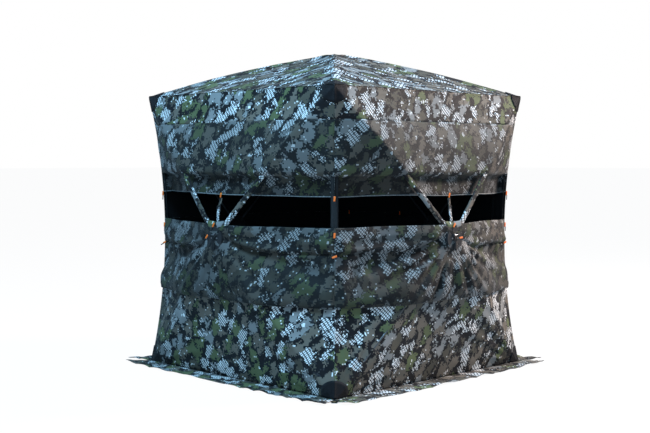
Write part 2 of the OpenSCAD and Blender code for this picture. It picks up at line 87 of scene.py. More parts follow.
SIDES = ["front", "right", "back", "left"]
OPEN_SIDES = ["front", "right"]
DOOR_SIDE = "back"


# ---- The shell's shape ---------------------------------------------------------------------------
def share(z):
    """0 at the height of the wall hubs, 1 at the ground and at the eave."""
    return np.abs(z - HUB_Z) / HUB_Z


def edge_x(z):
    """Half a wall's width at a height. The corner edges are drawn in at the middle."""
    return HALF - CORNER_BOW * (1 - share(z) ** 2)


def ridge(s, height, pivot_share, bow):
    """How far a rod stands out of the corner plane, from 0 at the hub to 1 at the corner."""
    return height * np.clip((1 - s) / (1 - pivot_share), 0, 1) + 4 * bow * s * (1 - s)


def wall_ridge(z):
    """How far a wall rod stands out of the corner plane at a height."""
    return ridge(share(z), PUSH, PIVOT_R / WALL_REACH, WALL_BOW)


def smooth_min(a, b, k):
    """The smaller of two heights, with the crease between them rounded over k."""
    h = np.clip(0.5 + 0.5 * (b - a) / k, 0, 1)
    return b + (a - b) * h - k * h * (1 - h)


def wall_out(x, z):
    """How far the rods' surface stands outside the corner plane at a place on a wall."""
    rod_x = HALF * share(z)
    top = wall_ridge(z)
    edge = edge_x(z)
    t = np.clip((np.abs(x) - rod_x) / np.maximum(edge - rod_x, 0.02), 0, 1)
    side = top + (edge - HALF - top) * t
    hollow = SIDE_HOLLOW * t * (1 - t) * 4 * np.clip(1 - share(z), 0, 1)
    inner = np.clip(np.abs(x) / np.maximum(rod_x, 0.02), 0, 1)
    dish = WALL_DISH * share(z) * (1 - share(z)) * 4 * (1 - inner ** 2)
    return smooth_min(top - dish, side - hollow, CREASE)


def ease(t):
    """0 to 1 with soft ends."""
    t = np.clip(t, 0, 1)
    return t * t * (3 - 2 * t)


def hub_swell(x, z, height=0.006):
    """The fabric's rise over the hub's cover."""
    return height * ease((HUB_R + 0.045 - np.hypot(x, z - HUB_Z)) / 0.045)


def hub_calm(x, z):
    """0 over the hub, where the cloth lies on its cover, and 1 well away from it."""
    return ease((np.hypot(x, z - HUB_Z) - HUB_R + 0.005) / 0.09)


def corner_calm(x, z):
    """0 under the round patches at the corners, 1 well away from them."""
    r = np.hypot(HALF - np.abs(x), np.minimum(np.abs(z), np.abs(EAVE_Z - z)))
    return ease((r - PATCH_R) / 0.08)


def roof_height(x, y):
    """The roof's surface: ridges over the rods, and hollows between them."""
    s = np.maximum(np.abs(x), np.abs(y)) / HALF
    across = np.minimum(np.abs(x), np.abs(y)) / np.maximum(s * HALF, 0.01)
    z = EAVE_Z + ridge(s, RISE, PIVOT_R / ROOF_REACH, ROOF_BOW)
    hollow = ROOF_HOLLOW * np.clip(s * (1 - s) * 4, 0, 1) * (1 - across ** 2)
    return z - hollow + 0.003 * ease((HUB_R + 0.05 - np.hypot(x, y)) / 0.05)


def on_wall(side, x, out, z):
    """Points of a wall, in the shared frame. x runs to the right, seen from outside."""
    x, out, z = np.broadcast_arrays(*(np.asarray(v, float) for v in (x, out, z)))
    y = -(HALF + out)
    turned = {"front": (x, y), "right": (-y, x), "back": (-x, -y), "left": (y, -x)}[side]
    return np.stack([turned[0], turned[1], z], -1)


def waves(x, z, scale, seed, stretch=(1, 1)):
    """Smooth noise, from about -1 to 1, at each place."""
    flat_x, flat_z = np.ravel(x), np.ravel(z)
    values = [noise.noise(Vector((a * stretch[0] / scale, b * stretch[1] / scale, seed)))
              for a, b in zip(flat_x, flat_z)]
    return np.array(values).reshape(np.shape(x))


# ---- Making pieces -------------------------------------------------------------------------------
def deselect():
    """Clears the selection."""
    bpy.ops.object.select_all(action="DESELECT")


def use(obj):
    """Selects one object and makes it the active one."""
    deselect()
    obj.select_set(True)
    bpy.context.view_layer.objects.active = obj
    return obj


def apply_modifiers(obj):
    """Applies all of an object's modifiers, in their order."""
    use(obj)
    for modifier in list(obj.modifiers):
        bpy.ops.object.modifier_apply(modifier=modifier.name)
    return obj


def settle(obj):
    """Moves the piece's place into its mesh."""
    use(obj)
    bpy.ops.object.transform_apply(location=True, rotation=True, scale=True)
    return obj


def smooth(obj, angle=40):
    """Smooths all edges but those sharper than an angle in degrees."""
    use(obj)
    bpy.ops.object.shade_smooth_by_angle(angle=math.radians(angle))
    return obj


def grid_sheet(name, points, cut, closed=False):
    """A sheet through a grid of points, with a UV map in metres from the same grid of the flat cut."""
    rows, columns = points.shape[:2]
    mesh = bpy.data.meshes.new(name)
    index = np.arange(rows * columns).reshape(rows, columns)
    faces = []
    for i in range(rows - 1):
        for j in range(columns if closed else columns - 1):
            k = (j + 1) % columns
            faces.append((index[i, j], index[i, k], index[i + 1, k], index[i + 1, j]))
    mesh.from_pydata(points.reshape(-1, 3).tolist(), [], [tuple(int(v) for v in f) for f in faces])
    layer = mesh.uv_layers.new(name="Cut")
    flat = cut.reshape(-1, 2)
    layer.data.foreach_set("uv", flat[[loop.vertex_index for loop in mesh.loops]].ravel())
    obj = bpy.data.objects.new(name, mesh)
    bpy.context.collection.objects.link(obj)
    return obj


def thicken(obj, thickness, lined=False, offset=-1):
    """Gives a sheet its thickness. A lined sheet's inside takes its second material."""
    solid = obj.modifiers.new("Thickness", "SOLIDIFY")
    solid.thickness = thickness
    solid.offset = offset
    solid.use_even_offset = False
    if lined:
        solid.material_offset = 1
    apply_modifiers(obj)
    for polygon in obj.data.polygons:
        polygon.use_smooth = True
    return obj


def paint(obj, *materials):
    """Adds finishes to an object, in the order of its material slots."""
    for material in materials:
        obj.data.materials.append(material)
    return obj


def bend_with_wall(piece):
    """Moves the piece's place into its mesh; the piece stays rigid."""
    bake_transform(piece)


def bend_with_roof(piece):
    """Moves the piece's place into its mesh; the piece stays rigid."""
    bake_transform(piece)


# ---- Materials -----------------------------------------------------------------------------------
class Nodes:
    """A material's node tree, built one named step at a time."""

    def __init__(self, name):
        self.material = bpy.data.materials.new(name)
        self.material.use_nodes = True
        self.tree = self.material.node_tree
        self.shader = self.tree.nodes["Principled BSDF"]

    def add(self, kind, **settings):
        node = self.tree.nodes.new(kind)
        for key, value in settings.items():
            setattr(node, key, value)
        return node

    def link(self, source, target):
        self.tree.links.new(source, target)

    def value(self, socket, value):
        if isinstance(value, bpy.types.NodeSocket):
            self.link(value, socket)
        else:
            socket.default_value = value

    def math(self, operation, a, b=0.0, clamp=False):
        node = self.add("ShaderNodeMath", operation=operation, use_clamp=clamp)
        self.value(node.inputs[0], a)
        self.value(node.inputs[1], b)
        return node.outputs[0]

    def vector(self, operation, a, b=(0, 0, 0)):
        node = self.add("ShaderNodeVectorMath", operation=operation)
        self.value(node.inputs[0], a)
        self.value(node.inputs[1], b)
        return node.outputs[0]

    def mapping(self, vector, location=(0, 0, 0), turn=0.0, scale=(1, 1, 1)):
        node = self.add("ShaderNodeMapping")
        self.link(vector, node.inputs["Vector"])
        node.inputs["Location"].default_value = location
        node.inputs["Rotation"].default_value = (0, 0, math.radians(turn))
        node.inputs["Scale"].default_value = scale
        return node.outputs[0]

    def noise(self, vector, scale, detail=2.0, roughness=0.5, distortion=0.0):
        node = self.add("ShaderNodeTexNoise")
        self.link(vector, node.inputs["Vector"])
        node.inputs["Scale"].default_value = scale
        node.inputs["Detail"].default_value = detail
        node.inputs["Roughness"].default_value = roughness
        node.inputs["Distortion"].default_value = distortion
        return node.outputs["Fac"]

    def step(self, value, at, width):
        """0 below, 1 above, over the width."""
        node = self.add("ShaderNodeMapRange", interpolation_type="SMOOTHSTEP")
        self.value(node.inputs["Value"], value)
        node.inputs["From Min"].default_value = at - width / 2
        node.inputs["From Max"].default_value = at + width / 2
        return node.outputs["Result"]

    def mix(self, factor, a, b, blend="MIX"):
        node = self.add("ShaderNodeMix", data_type="RGBA", blend_type=blend)
        self.value(node.inputs["Factor"], factor)
        for socket, value in ((node.inputs[6], a), (node.inputs[7], b)):
            if isinstance(value, bpy.types.NodeSocket):
                self.link(value, socket)
            else:
                socket.default_value = (*value, 1)
        return node.outputs[2]

    def bump(self, height, distance, strength=1.0, normal=None):
        node = self.add("ShaderNodeBump")
        self.link(height, node.inputs["Height"])
        node.inputs["Distance"].default_value = distance
        node.inputs["Strength"].default_value = strength
        if normal is not None:
            self.link(normal, node.inputs["Normal"])
        return node.outputs["Normal"]

    def uv(self):
        return self.add("ShaderNodeUVMap", uv_map="Cut").outputs["UV"]

    def place(self):
        return self.add("ShaderNodeTexCoord").outputs["Object"]

    def set(self, **settings):
        for key, value in settings.items():
            name = key.replace("_", " ").title().replace("Ior", "IOR")
            self.value(self.shader.inputs[name], value)
        return self


# The print's inks
INK_BLACK = (0.006, 0.006, 0.008)
INK_DUSK = (0.030, 0.032, 0.036)
INK_STONE = (0.240, 0.250, 0.250)
INK_TAUPE = (0.150, 0.132, 0.108)
INK_EARTH = (0.085, 0.078, 0.060)
INK_GREEN = (0.108, 0.132, 0.062)
INK_PALE = (0.820, 0.850, 0.860)
PATCHES = 17                    # patches to a metre
PRINT_STEP = 0.0066             # size of the print's square steps
TEAR = 0.082                    # how far the patches' edges are torn
NET_CELLS = 100                 # the netting's cells to a metre
NETTING_FROM = 0.76             # patches drawn above this are netting
FLECKS_FROM = 0.635             # less makes more pale flecks
DUSK_FROM = 0.432               # less makes wider grey rims on the branches
BLACK_FROM = 0.449              # less makes wider black branches


def camo_print(nodes, uv, sharp):
    """The printed pattern: torn patches of green, earth, taupe and stone and of pale netting,
    with black branches between them. Its edges step, as in a digital print."""
    snapped = nodes.vector("SNAP", uv, (PRINT_STEP, PRINT_STEP, PRINT_STEP))
    stretched = nodes.mapping(nodes.mapping(snapped, turn=38), scale=(1.0, 0.68, 1.0))
    torn = nodes.add("ShaderNodeTexNoise")
    nodes.link(snapped, torn.inputs["Vector"])
    torn.inputs["Scale"].default_value = 46
    torn.inputs["Detail"].default_value = 4
    torn.inputs["Roughness"].default_value = 0.72
    centred = nodes.vector("SUBTRACT", torn.outputs["Color"], (0.5, 0.5, 0.5))
    pulled = nodes.vector("MULTIPLY", centred, (TEAR, TEAR, 0.0))
    place = nodes.vector("ADD", stretched, pulled)

    patches = nodes.add("ShaderNodeTexVoronoi", voronoi_dimensions="2D")
    nodes.link(place, patches.inputs["Vector"])
    patches.inputs["Scale"].default_value = PATCHES
    pick = nodes.add("ShaderNodeSeparateXYZ")
    nodes.link(patches.outputs["Color"], pick.inputs[0])
    ramp = nodes.add("ShaderNodeValToRGB")
    ramp.color_ramp.interpolation = "CONSTANT"
    steps = [(0.0, INK_TAUPE), (0.20, INK_STONE), (0.40, INK_GREEN), (0.56, INK_EARTH), (0.68, INK_TAUPE)]
    elements = ramp.color_ramp.elements
    elements[0].color = (*steps[0][1], 1)
    elements[1].position, elements[1].color = steps[1][0], (*steps[1][1], 1)
    for position, ink in steps[2:]:
        elements.new(position).color = (*ink, 1)
    nodes.link(pick.outputs["X"], ramp.inputs["Fac"])

    net = nodes.add("ShaderNodeTexVoronoi", voronoi_dimensions="2D", feature="DISTANCE_TO_EDGE")
    nodes.link(nodes.mapping(nodes.mapping(uv, turn=50), scale=(1.0, 0.60, 1.0)), net.inputs["Vector"])
    net.inputs["Scale"].default_value = NET_CELLS
    net.inputs["Randomness"].default_value = 0.12
    cells = nodes.step(net.outputs["Distance"], 0.15, 0.06 if sharp else 0.2)
    netting = nodes.mix(cells, INK_DUSK, INK_PALE)
    colour = nodes.mix(nodes.step(pick.outputs["X"], NETTING_FROM, 0.001), ramp.outputs["Color"], netting)

    flecks = nodes.noise(nodes.mapping(place, location=(4, 2, 0)), 42, 3, 0.6)
    colour = nodes.mix(nodes.step(flecks, FLECKS_FROM, 0.004), colour, INK_PALE)
    branches = nodes.noise(nodes.mapping(place, location=(1, 7, 0)), 17, 5, 0.70)
    rim = nodes.add("ShaderNodeTexVoronoi", voronoi_dimensions="2D", feature="DISTANCE_TO_EDGE")
    nodes.link(place, rim.inputs["Vector"])
    rim.inputs["Scale"].default_value = PATCHES
    near_rim = nodes.math("MULTIPLY", rim.outputs["Distance"], -0.55)
    dark = nodes.math("ADD", branches, near_rim)
    colour = nodes.mix(nodes.step(dark, DUSK_FROM, 0.004), colour, INK_DUSK)
    return nodes.mix(nodes.step(dark, BLACK_FROM, 0.004), colour, INK_BLACK)


def weave(nodes, uv, pitch):
    """Height of a plain weave: threads over and under at a pitch in metres."""
    separate = nodes.add("ShaderNodeSeparateXYZ")
    threads = 2 * math.pi / pitch
    nodes.link(nodes.vector("MULTIPLY", uv, (threads, threads, threads)), separate.inputs[0])
    warp = nodes.math("SINE", separate.outputs["X"])
    weft = nodes.math("SINE", separate.outputs["Y"])
    return nodes.math("MULTIPLY", warp, weft)


def camo_cloth(name, sharp=True, tone=1.0):
    """Printed woven polyester. The thin curtain cloth has a softer, duller print."""
    nodes = Nodes(name)
    uv = nodes.uv()
    colour = camo_print(nodes, uv, sharp)
    haze = nodes.noise(uv, 2.2, 3, 0.5)
    if not sharp:
        colour = nodes.mix(0.20, colour, (0.045, 0.050, 0.046))
    # faint faded patches from the haze, times the tone; the low tones of the slack and hem copies are painted
    # shade
    shade = nodes.math("MULTIPLY_ADD", haze, 0.5)
    shade.node.inputs[2].default_value = tone - 0.25
    nodes.link(nodes.mix(1.0, colour, shade, "MULTIPLY"), nodes.shader.inputs["Base Color"])
    creases = nodes.noise(nodes.mapping(uv, scale=(1.0, 1.6, 1.0)), 34, 4, 0.55, 0.8)
    coarse = nodes.bump(creases, 0.0020, 0.55)
    nodes.link(nodes.bump(weave(nodes, uv, 0.0016), 0.00025, 0.5, coarse), nodes.shader.inputs["Normal"])
    rough = nodes.math("MULTIPLY_ADD", creases, 0.16)
    rough.node.inputs[2].default_value = 0.58
    nodes.set(roughness=rough, sheen_weight=0.04, sheen_roughness=0.5, specular_ior_level=0.20)
    return nodes.material


def lining_cloth():
    """Black coated inside of the fabric."""
    nodes = Nodes("black_lining")
    place = nodes.place()
    dust = nodes.noise(place, 6, 4, 0.6)
    nodes.link(nodes.mix(dust, (0.006, 0.006, 0.007), (0.011, 0.011, 0.012)),
               nodes.shader.inputs["Base Color"])
    nodes.link(nodes.bump(nodes.noise(place, 700, 2), 0.0003, 0.4), nodes.shader.inputs["Normal"])
    nodes.set(roughness=0.8, specular_ior_level=0.2)
    return nodes.material


def heavy_cloth(name, colour, rib=0.0022):
    """Coarse plain nylon, as in the corner patches."""
    nodes = Nodes(name)
    place = nodes.place()
    wear = nodes.noise(place, 22, 5, 0.6)
    pale = tuple(min(1, c * 1.7 + 0.004) for c in colour)
    nodes.link(nodes.mix(nodes.step(wear, 0.58, 0.3), colour, pale), nodes.shader.inputs["Base Color"])
    nodes.link(nodes.bump(weave(nodes, place, rib), 0.0006, 0.7), nodes.shader.inputs["Normal"])
    nodes.set(roughness=0.75, sheen_weight=0.03, specular_ior_level=0.2)
    return nodes.material


def webbing_cloth(name, colour, along="Z"):
    """Woven tape with ribs across its length."""
    nodes = Nodes(name)
    place = nodes.place()
    separate = nodes.add("ShaderNodeSeparateXYZ")
    nodes.link(place, separate.inputs[0])
    ribs = nodes.math("SINE", nodes.math("MULTIPLY", separate.outputs[along], 2 * math.pi / 0.0030))
    fuzz = nodes.noise(place, 160, 3, 0.6)
    pale = tuple(min(1, c * 1.8 + 0.003) for c in colour)
    nodes.link(nodes.mix(nodes.step(fuzz, 0.55, 0.3), colour, pale), nodes.shader.inputs["Base Color"])
    nodes.link(nodes.bump(ribs, 0.0005, 0.8), nodes.shader.inputs["Normal"])
    nodes.set(roughness=0.62, sheen_weight=0.03, specular_ior_level=0.25)
    return nodes.material


def moulded_plastic(name, colour, rough=0.45, grain=420):
    """Plastic with a fine moulded grain and pale scuffs."""
    nodes = Nodes(name)
    place = nodes.place()
    scuff = nodes.noise(place, 45, 5, 0.65)
    pale = tuple(min(1, c * 1.5 + 0.01) for c in colour)
    nodes.link(nodes.mix(nodes.step(scuff, 0.62, 0.2), colour, pale), nodes.shader.inputs["Base Color"])
    nodes.link(nodes.bump(nodes.noise(place, grain, 2), 0.0003, 0.5), nodes.shader.inputs["Normal"])
    varied = nodes.math("MULTIPLY_ADD", scuff, 0.25)
    varied.node.inputs[2].default_value = rough - 0.12
    nodes.set(roughness=varied, specular_ior_level=0.5)
    return nodes.material


def metal(name, colour, rough):
    """Dull brushed metal with stains."""
    nodes = Nodes(name)
    place = nodes.place()
    stain = nodes.noise(place, 60, 5, 0.6)
    dull = tuple(c * 0.6 for c in colour)
    nodes.link(nodes.mix(nodes.step(stain, 0.55, 0.3), colour, dull), nodes.shader.inputs["Base Color"])
    brushed = nodes.noise(nodes.mapping(place, scale=(1, 1, 12)), 300, 2)
    nodes.link(nodes.bump(brushed, 0.0002, 0.4), nodes.shader.inputs["Normal"])
    varied = nodes.math("MULTIPLY_ADD", stain, 0.3)
    varied.node.inputs[2].default_value = rough - 0.15
    nodes.set(roughness=varied, metallic=1.0)
    return nodes.material


def rod_finish():
    """Grey pultruded fibreglass with fine lengthwise strands."""
    nodes = Nodes("fibreglass_rod")
    place = nodes.place()
    strands = nodes.noise(nodes.mapping(place, scale=(1, 1, 0.15)), 260, 3, 0.6)
    nodes.link(nodes.mix(strands, (0.035, 0.037, 0.040), (0.085, 0.088, 0.092)),
               nodes.shader.inputs["Base Color"])
    nodes.link(nodes.bump(strands, 0.0002, 0.4), nodes.shader.inputs["Normal"])
    nodes.set(roughness=0.34, coat_weight=0.25, coat_roughness=0.2)
    return nodes.material


CAMO = camo_cloth("camo_fabric")
CAMO_THIN = camo_cloth("window_fabric", sharp=False, tone=0.68)
# painted shade: a darker copy of the window cloth for the slack lower curtain, standing in for the shade in
# its folds
CAMO_SLACK_SHADED = camo_cloth("slack_fabric_painted_shade", sharp=False, tone=0.47)
# painted shade: a darker copy of the curtain cloth for the hem that hangs in shade behind the rods
CAMO_SHADED = camo_cloth("hem_painted_shade", sharp=False, tone=0.34)
CAMO_TAPE = camo_cloth("camo_webbing", tone=0.85)
PIPING = webbing_cloth("hem_piping", (0.150, 0.165, 0.170), "X")
LINING = lining_cloth()
BLACK_CLOTH = heavy_cloth("corner_fabric", (0.006, 0.006, 0.008))
BLACK_TAPE = webbing_cloth("black_webbing", (0.006, 0.006, 0.007))
HANDLE_TAPE = webbing_cloth("handle_webbing", (0.006, 0.006, 0.007))
ORANGE = moulded_plastic("orange_tabs", (1.0, 0.18, 0.014), 0.42)
HUB_BLACK = moulded_plastic("hub_plastic", (0.016, 0.016, 0.018), 0.5)
STEEL = metal("pin_steel", (0.52, 0.53, 0.55), 0.38)
BRASS = metal("grommet_brass", (0.50, 0.42, 0.24), 0.42)
ROD = rod_finish()


def dress_cad_nodes():
    """Gives the rigid CAD nodes their finishes."""
    for name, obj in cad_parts.items():
        finish = None
        if name.endswith(("hub_housing", "hub_cover")):
            finish = HUB_BLACK
        elif name.endswith("hub_pins"):
            finish = STEEL
        elif "_rod_" in name:
            finish = ROD
        elif name == "stake_grommets":
            finish = BRASS
        if finish is not None:
            obj.data.materials.clear()
            obj.data.materials.append(finish)


# ---- Fabric of the shell ---------------------------------------------------------------------------
CELL = 0.012                    # spacing of the sheets' grids


def wall_grid(low, high, left=None, right=None, cell=CELL):
    """x and z of a sheet between two heights. The sides default to the corner edges."""
    rows = max(3, round((high - low) / cell) + 1)
    columns = round(2 * HALF / cell) + 1
    z = np.linspace(low, high, rows)[:, None] * np.ones((1, columns))
    start = -(edge_x(z) + LIFT) if left is None else left(z)
    end = edge_x(z) + LIFT if right is None else right(z)
    return start + (end - start) * np.linspace(0, 1, columns)[None, :], z


def polar_folds(angle, r, seed, count, length=0.45):
    """Irregular folds that run outwards from a point."""
    return waves(angle * count, r / length, 1.0, seed)


def corner_pleats(x, z, corner_z, seed):
    """Folds that run out of a corner where the cloth is pulled."""
    total = np.zeros_like(x)
    for sign in (-1, 1):
        dx, dz = HALF - sign * x, np.abs(z - corner_z)
        r = np.hypot(dx, dz)
        folds = polar_folds(np.arctan2(dz, dx), r, seed + 3 * sign, 9)
        total += folds * r * 0.085 * np.exp(-r / 0.24)
    return total


def taut_relief(x, z, seed):
    """Slight unevenness of stretched cloth."""
    broad = waves(x, z, 0.30, seed, (1, 1.2)) * 0.0035
    fine = waves(x, z, 0.055, seed + 5, (1, 0.55)) * 0.0011
    return broad + fine


def calm_at_edges(x, z):
    """1 inside a wall, 0 at its corner edges, so that neighbouring sheets meet."""
    return np.clip((edge_x(z) + LIFT - np.abs(x)) / 0.03, 0, 1)


def side_out(side, x, z):
    """A wall's surface. On the door's side it is drawn in to the door's flat panel."""
    out = wall_out(x, z)
    if side != DOOR_SIDE:
        return out
    across = -x
    below_rod = HUB_Z * across / HALF - np.abs(z - HUB_Z)
    flat = np.minimum(below_rod / DOOR_ROD_GAP, (across - 0.05) / (DOOR_IN - 0.05))
    flat = np.minimum(flat, (edge_x(z) - across) / (edge_x(z) - DOOR_HINGE))
    flat = np.clip(flat, 0, 1)
    return out + (door_out(across) - out) * flat


def away_from_door(side, x):
    """0 over the door's half of its wall, where the cloth is held flat, and 1 elsewhere."""
    return ease((x + 0.12) / 0.08) if side == DOOR_SIDE else np.ones_like(x)


def cut_door_opening(sheet):
    """Cuts the door's outline into a sheet and takes out what lies inside it."""
    mesh = bmesh.new()
    mesh.from_mesh(sheet.data)
    slope = HUB_Z / HALF
    planes = [((DOOR_IN, 0, 0), (1, 0, 0)), ((DOOR_HINGE, 0, 0), (1, 0, 0)),
              ((0, 0, HUB_Z - DOOR_ROD_GAP), (-slope, 0, 1)), ((0, 0, HUB_Z + DOOR_ROD_GAP), (slope, 0, 1))]
    for place, normal in planes:
        everything = mesh.verts[:] + mesh.edges[:] + mesh.faces[:]
        bmesh.ops.bisect_plane(mesh, geom=everything, plane_co=place, plane_no=normal)
    inside = []
    for face in mesh.faces:
        at = face.calc_center_median()
        if DOOR_IN < at.x < DOOR_HINGE and abs(at.z - HUB_Z) < door_rise(at.x):
            inside.append(face)
    bmesh.ops.delete(mesh, geom=inside, context="FACES")
    mesh.to_mesh(sheet.data)
    mesh.free()


def wall_sheet(name, side, x, z, extra, cut_shift, finish, thickness=CLOTH):
    """A sheet on a wall's surface, with extra height where the cloth is slack."""
    calm = calm_at_edges(x, z) * corner_calm(x, z) * away_from_door(side, x)
    out = side_out(side, x, z) + LIFT + hub_swell(x, z) + extra * calm
    points = on_wall(side, x, out, z)
    cut = np.stack([x + cut_shift, z], -1)
    sheet = grid_sheet(name, points, cut)
    face_away(sheet)
    if side == DOOR_SIDE:
        cut_door_opening(sheet)
    paint(sheet, finish, LINING)
    thicken(sheet, thickness, lined=True)
    return sheet


def declare_cut(side, low, high, slack=0.0):
    """Works out the area of a wall's flat sheet, a rectangle as wide as the wall less the door's opening. The
    area is not used.
    """
    width, height = 2 * (HALF + LIFT), high - low + slack
    area = width * height
    if side == DOOR_SIDE:
        x = np.linspace(DOOR_IN, DOOR_HINGE, 50)
        tall = np.minimum(high, HUB_Z + door_rise(x)) - np.maximum(low, HUB_Z - door_rise(x))
        area -= float(np.clip(tall, 0, None).mean()) * (DOOR_HINGE - DOOR_IN)


def make_roof():
    """The roof canopy, stretched over the four roof rods."""
    n = round(2 * HALF / CELL) + 1
    line = np.linspace(-(HALF + LIFT), HALF + LIFT, n)
    x, y = np.meshgrid(line, line)
    relief = waves(x, y, 0.35, 3.0) * 0.004 + waves(x, y, 0.07, 8.0) * 0.0010
    near_rim = ease((HALF + LIFT - np.maximum(np.abs(x), np.abs(y))) / 0.06)
    clear = ease((np.hypot(HALF - np.abs(x), HALF - np.abs(y)) - PATCH_R) / 0.08)
    z = roof_height(x, y) + LIFT + relief * near_rim * clear
    cut = np.stack([x + 4.2, y * 0.9 + 2.1], -1)
    roof = grid_sheet("roof", np.stack([x, y, z], -1), cut)
    paint(roof, CAMO, LINING)
    thicken(roof, CLOTH, lined=True)
    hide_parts("roof_canopy")
    bend_with_roof(roof)
    return roof


def make_eave_band(side, seed):
    """The band of fabric under the eave of one wall."""
    x, z = wall_grid(BAND_Z - 0.004, EAVE_Z + LIFT)
    near_rim = np.clip((EAVE_Z + LIFT - z) / 0.04, 0, 1)
    extra = (corner_pleats(x, z, EAVE_Z, seed) * 0.5 + taut_relief(x, z, seed)) * near_rim
    band = wall_sheet(side + "_eave_band", side, x, z, extra, seed, CAMO)
    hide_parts("eave_band")
    bend_with_wall(band)
    declare_cut(side, BAND_Z, EAVE_Z + LIFT)
    return band


def make_lower_wall(side, seed):
    """The taut lowest part of one wall, down to the ground."""
    x, z = wall_grid(0.002, SEAM_Z + 0.012)
    extra = (corner_pleats(x, z, 0, seed) * 1.4 + corner_pleats(x, z, SEAM_Z, seed + 7) * 0.7
             + taut_relief(x, z, seed)) * np.clip(z / 0.03, 0, 1)
    wall = wall_sheet(side + "_lower_wall", side, x, z, extra, seed, CAMO)
    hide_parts("lower_wall_" + side)
    bend_with_wall(wall)
    declare_cut(side, 0, SEAM_Z + 0.01)
    return wall


def make_closed_curtain(side, seed):
    """The upper curtain of a closed wall, hung outside the rods down over the lower curtain's edge."""
    low = SILL_Z - 0.022
    x, z = wall_grid(low, BAND_Z)
    down = (BAND_Z - z) / (BAND_Z - low)
    belly = 0.010 * np.sin(np.pi * down) + 0.004 * down
    folds = waves(x, z, 0.16, seed, (1, 0.45)) * 0.009 * down ** 1.5 + taut_relief(x, z, seed)
    extra = (belly + folds) * hub_calm(x, z) + 0.0035 * down
    sheet = wall_sheet(side + "_upper_curtain", side, x, z, extra, seed + 0.6, CAMO_THIN)
    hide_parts("upper_curtain")
    bend_with_wall(sheet)
    declare_cut(side, low, BAND_Z)
    return sheet


def make_open_curtain(side, seed):
    """The open wall's upper curtain. It leaves the rods at the fold and hangs behind them to its hem."""
    # its section from the band down: over the rods, round the fold, and behind them
    outside = np.linspace(BAND_Z, FOLD_Z + 0.030, 24)
    belly = 0.016 * np.sin(np.pi * np.linspace(0, 1, 24) ** 0.9) + 0.012 * np.linspace(0, 1, 24) ** 2
    curl_z = FOLD_Z + np.array([0.020, 0.010, 0.002, -0.003, -0.006, -0.010, -0.018])
    curl = np.array([0.011, 0.007, -0.001, -0.012, -0.022, -0.030, -0.035])
    hang_z = np.linspace(FOLD_Z - 0.030, HEM_Z, 8)
    hang = np.linspace(-0.037, -0.040, 8)
    level = np.concatenate([outside, curl_z, hang_z])
    depth = np.concatenate([belly, curl, hang])
    columns = round(2 * HALF / CELL) + 1
    z = level[:, None] * np.ones((1, columns))
    x = (edge_x(z) + LIFT) * np.linspace(-1, 1, columns)[None, :]
    down = (BAND_Z - z) / (BAND_Z - HEM_Z)
    folds = waves(x, z, 0.15, seed, (1, 0.4)) * 0.011 * down + taut_relief(x, z, seed)
    edge = calm_at_edges(x, z)
    droop = (waves(x, z * 0, 0.45, seed + 2) * 0.014 - 0.003) * np.clip(down * 1.6 - 0.4, 0, 1) * edge
    sheet = wall_sheet(side + "_upper_curtain", side, x, z + droop, depth[:, None] + folds,
                       seed + 0.6, CAMO_THIN)
    # the faces below the fold take the darker copy: painted shade of the hem behind the rods
    sheet.data.materials.append(CAMO_SHADED)
    for face in sheet.data.polygons:
        if face.material_index == 0 and face.center.z < FOLD_Z - 0.004:
            face.material_index = 2
    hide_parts("upper_curtain")
    bend_with_wall(sheet)
    declare_cut(side, HEM_Z, BAND_Z, slack=0.05)
    x_line = x[-1]
    hem = side_out(side, x_line, z[-1]) + LIFT + (hang[-1] + folds[-1]) * edge[-1]
    make_piping(side + "_hem_piping", on_wall(side, x_line, hem - CLOTH / 2, z[-1] + droop[-1]))
    return sheet


def make_piping(name, line):
    """A round light piping sewn along an edge."""
    radius = 0.0026
    sides = 8
    around = np.linspace(0, 2 * math.pi, sides + 1)[:-1]
    points = []
    for i, at in enumerate(line):
        along = line[min(i + 1, len(line) - 1)] - line[max(i - 1, 0)]
        along = Vector(along).normalized()
        sideways = along.cross(Vector((0, 0, 1))).normalized()
        up = sideways.cross(along)
        points.append([tuple(Vector(at) + sideways * (radius * math.cos(a)) + up * (radius * math.sin(a)))
                       for a in around])
    cut = np.array([[(j * 0.003, i * CELL) for j in range(sides)] for i in range(len(line))])
    piping = grid_sheet(name, np.array(points), cut, closed=True)
    paint(piping, PIPING)
    close_ends(piping)
    outward(piping)
    bend_with_wall(piping)
    return piping


def close_ends(obj):
    """Closes a tube's open ends with flat caps."""
    mesh = bmesh.new()
    mesh.from_mesh(obj.data)
    bmesh.ops.holes_fill(mesh, edges=[e for e in mesh.edges if e.is_boundary], sides=0)
    for face in mesh.faces:
        face.smooth = len(face.verts) == 4
    mesh.to_mesh(obj.data)
    mesh.free()


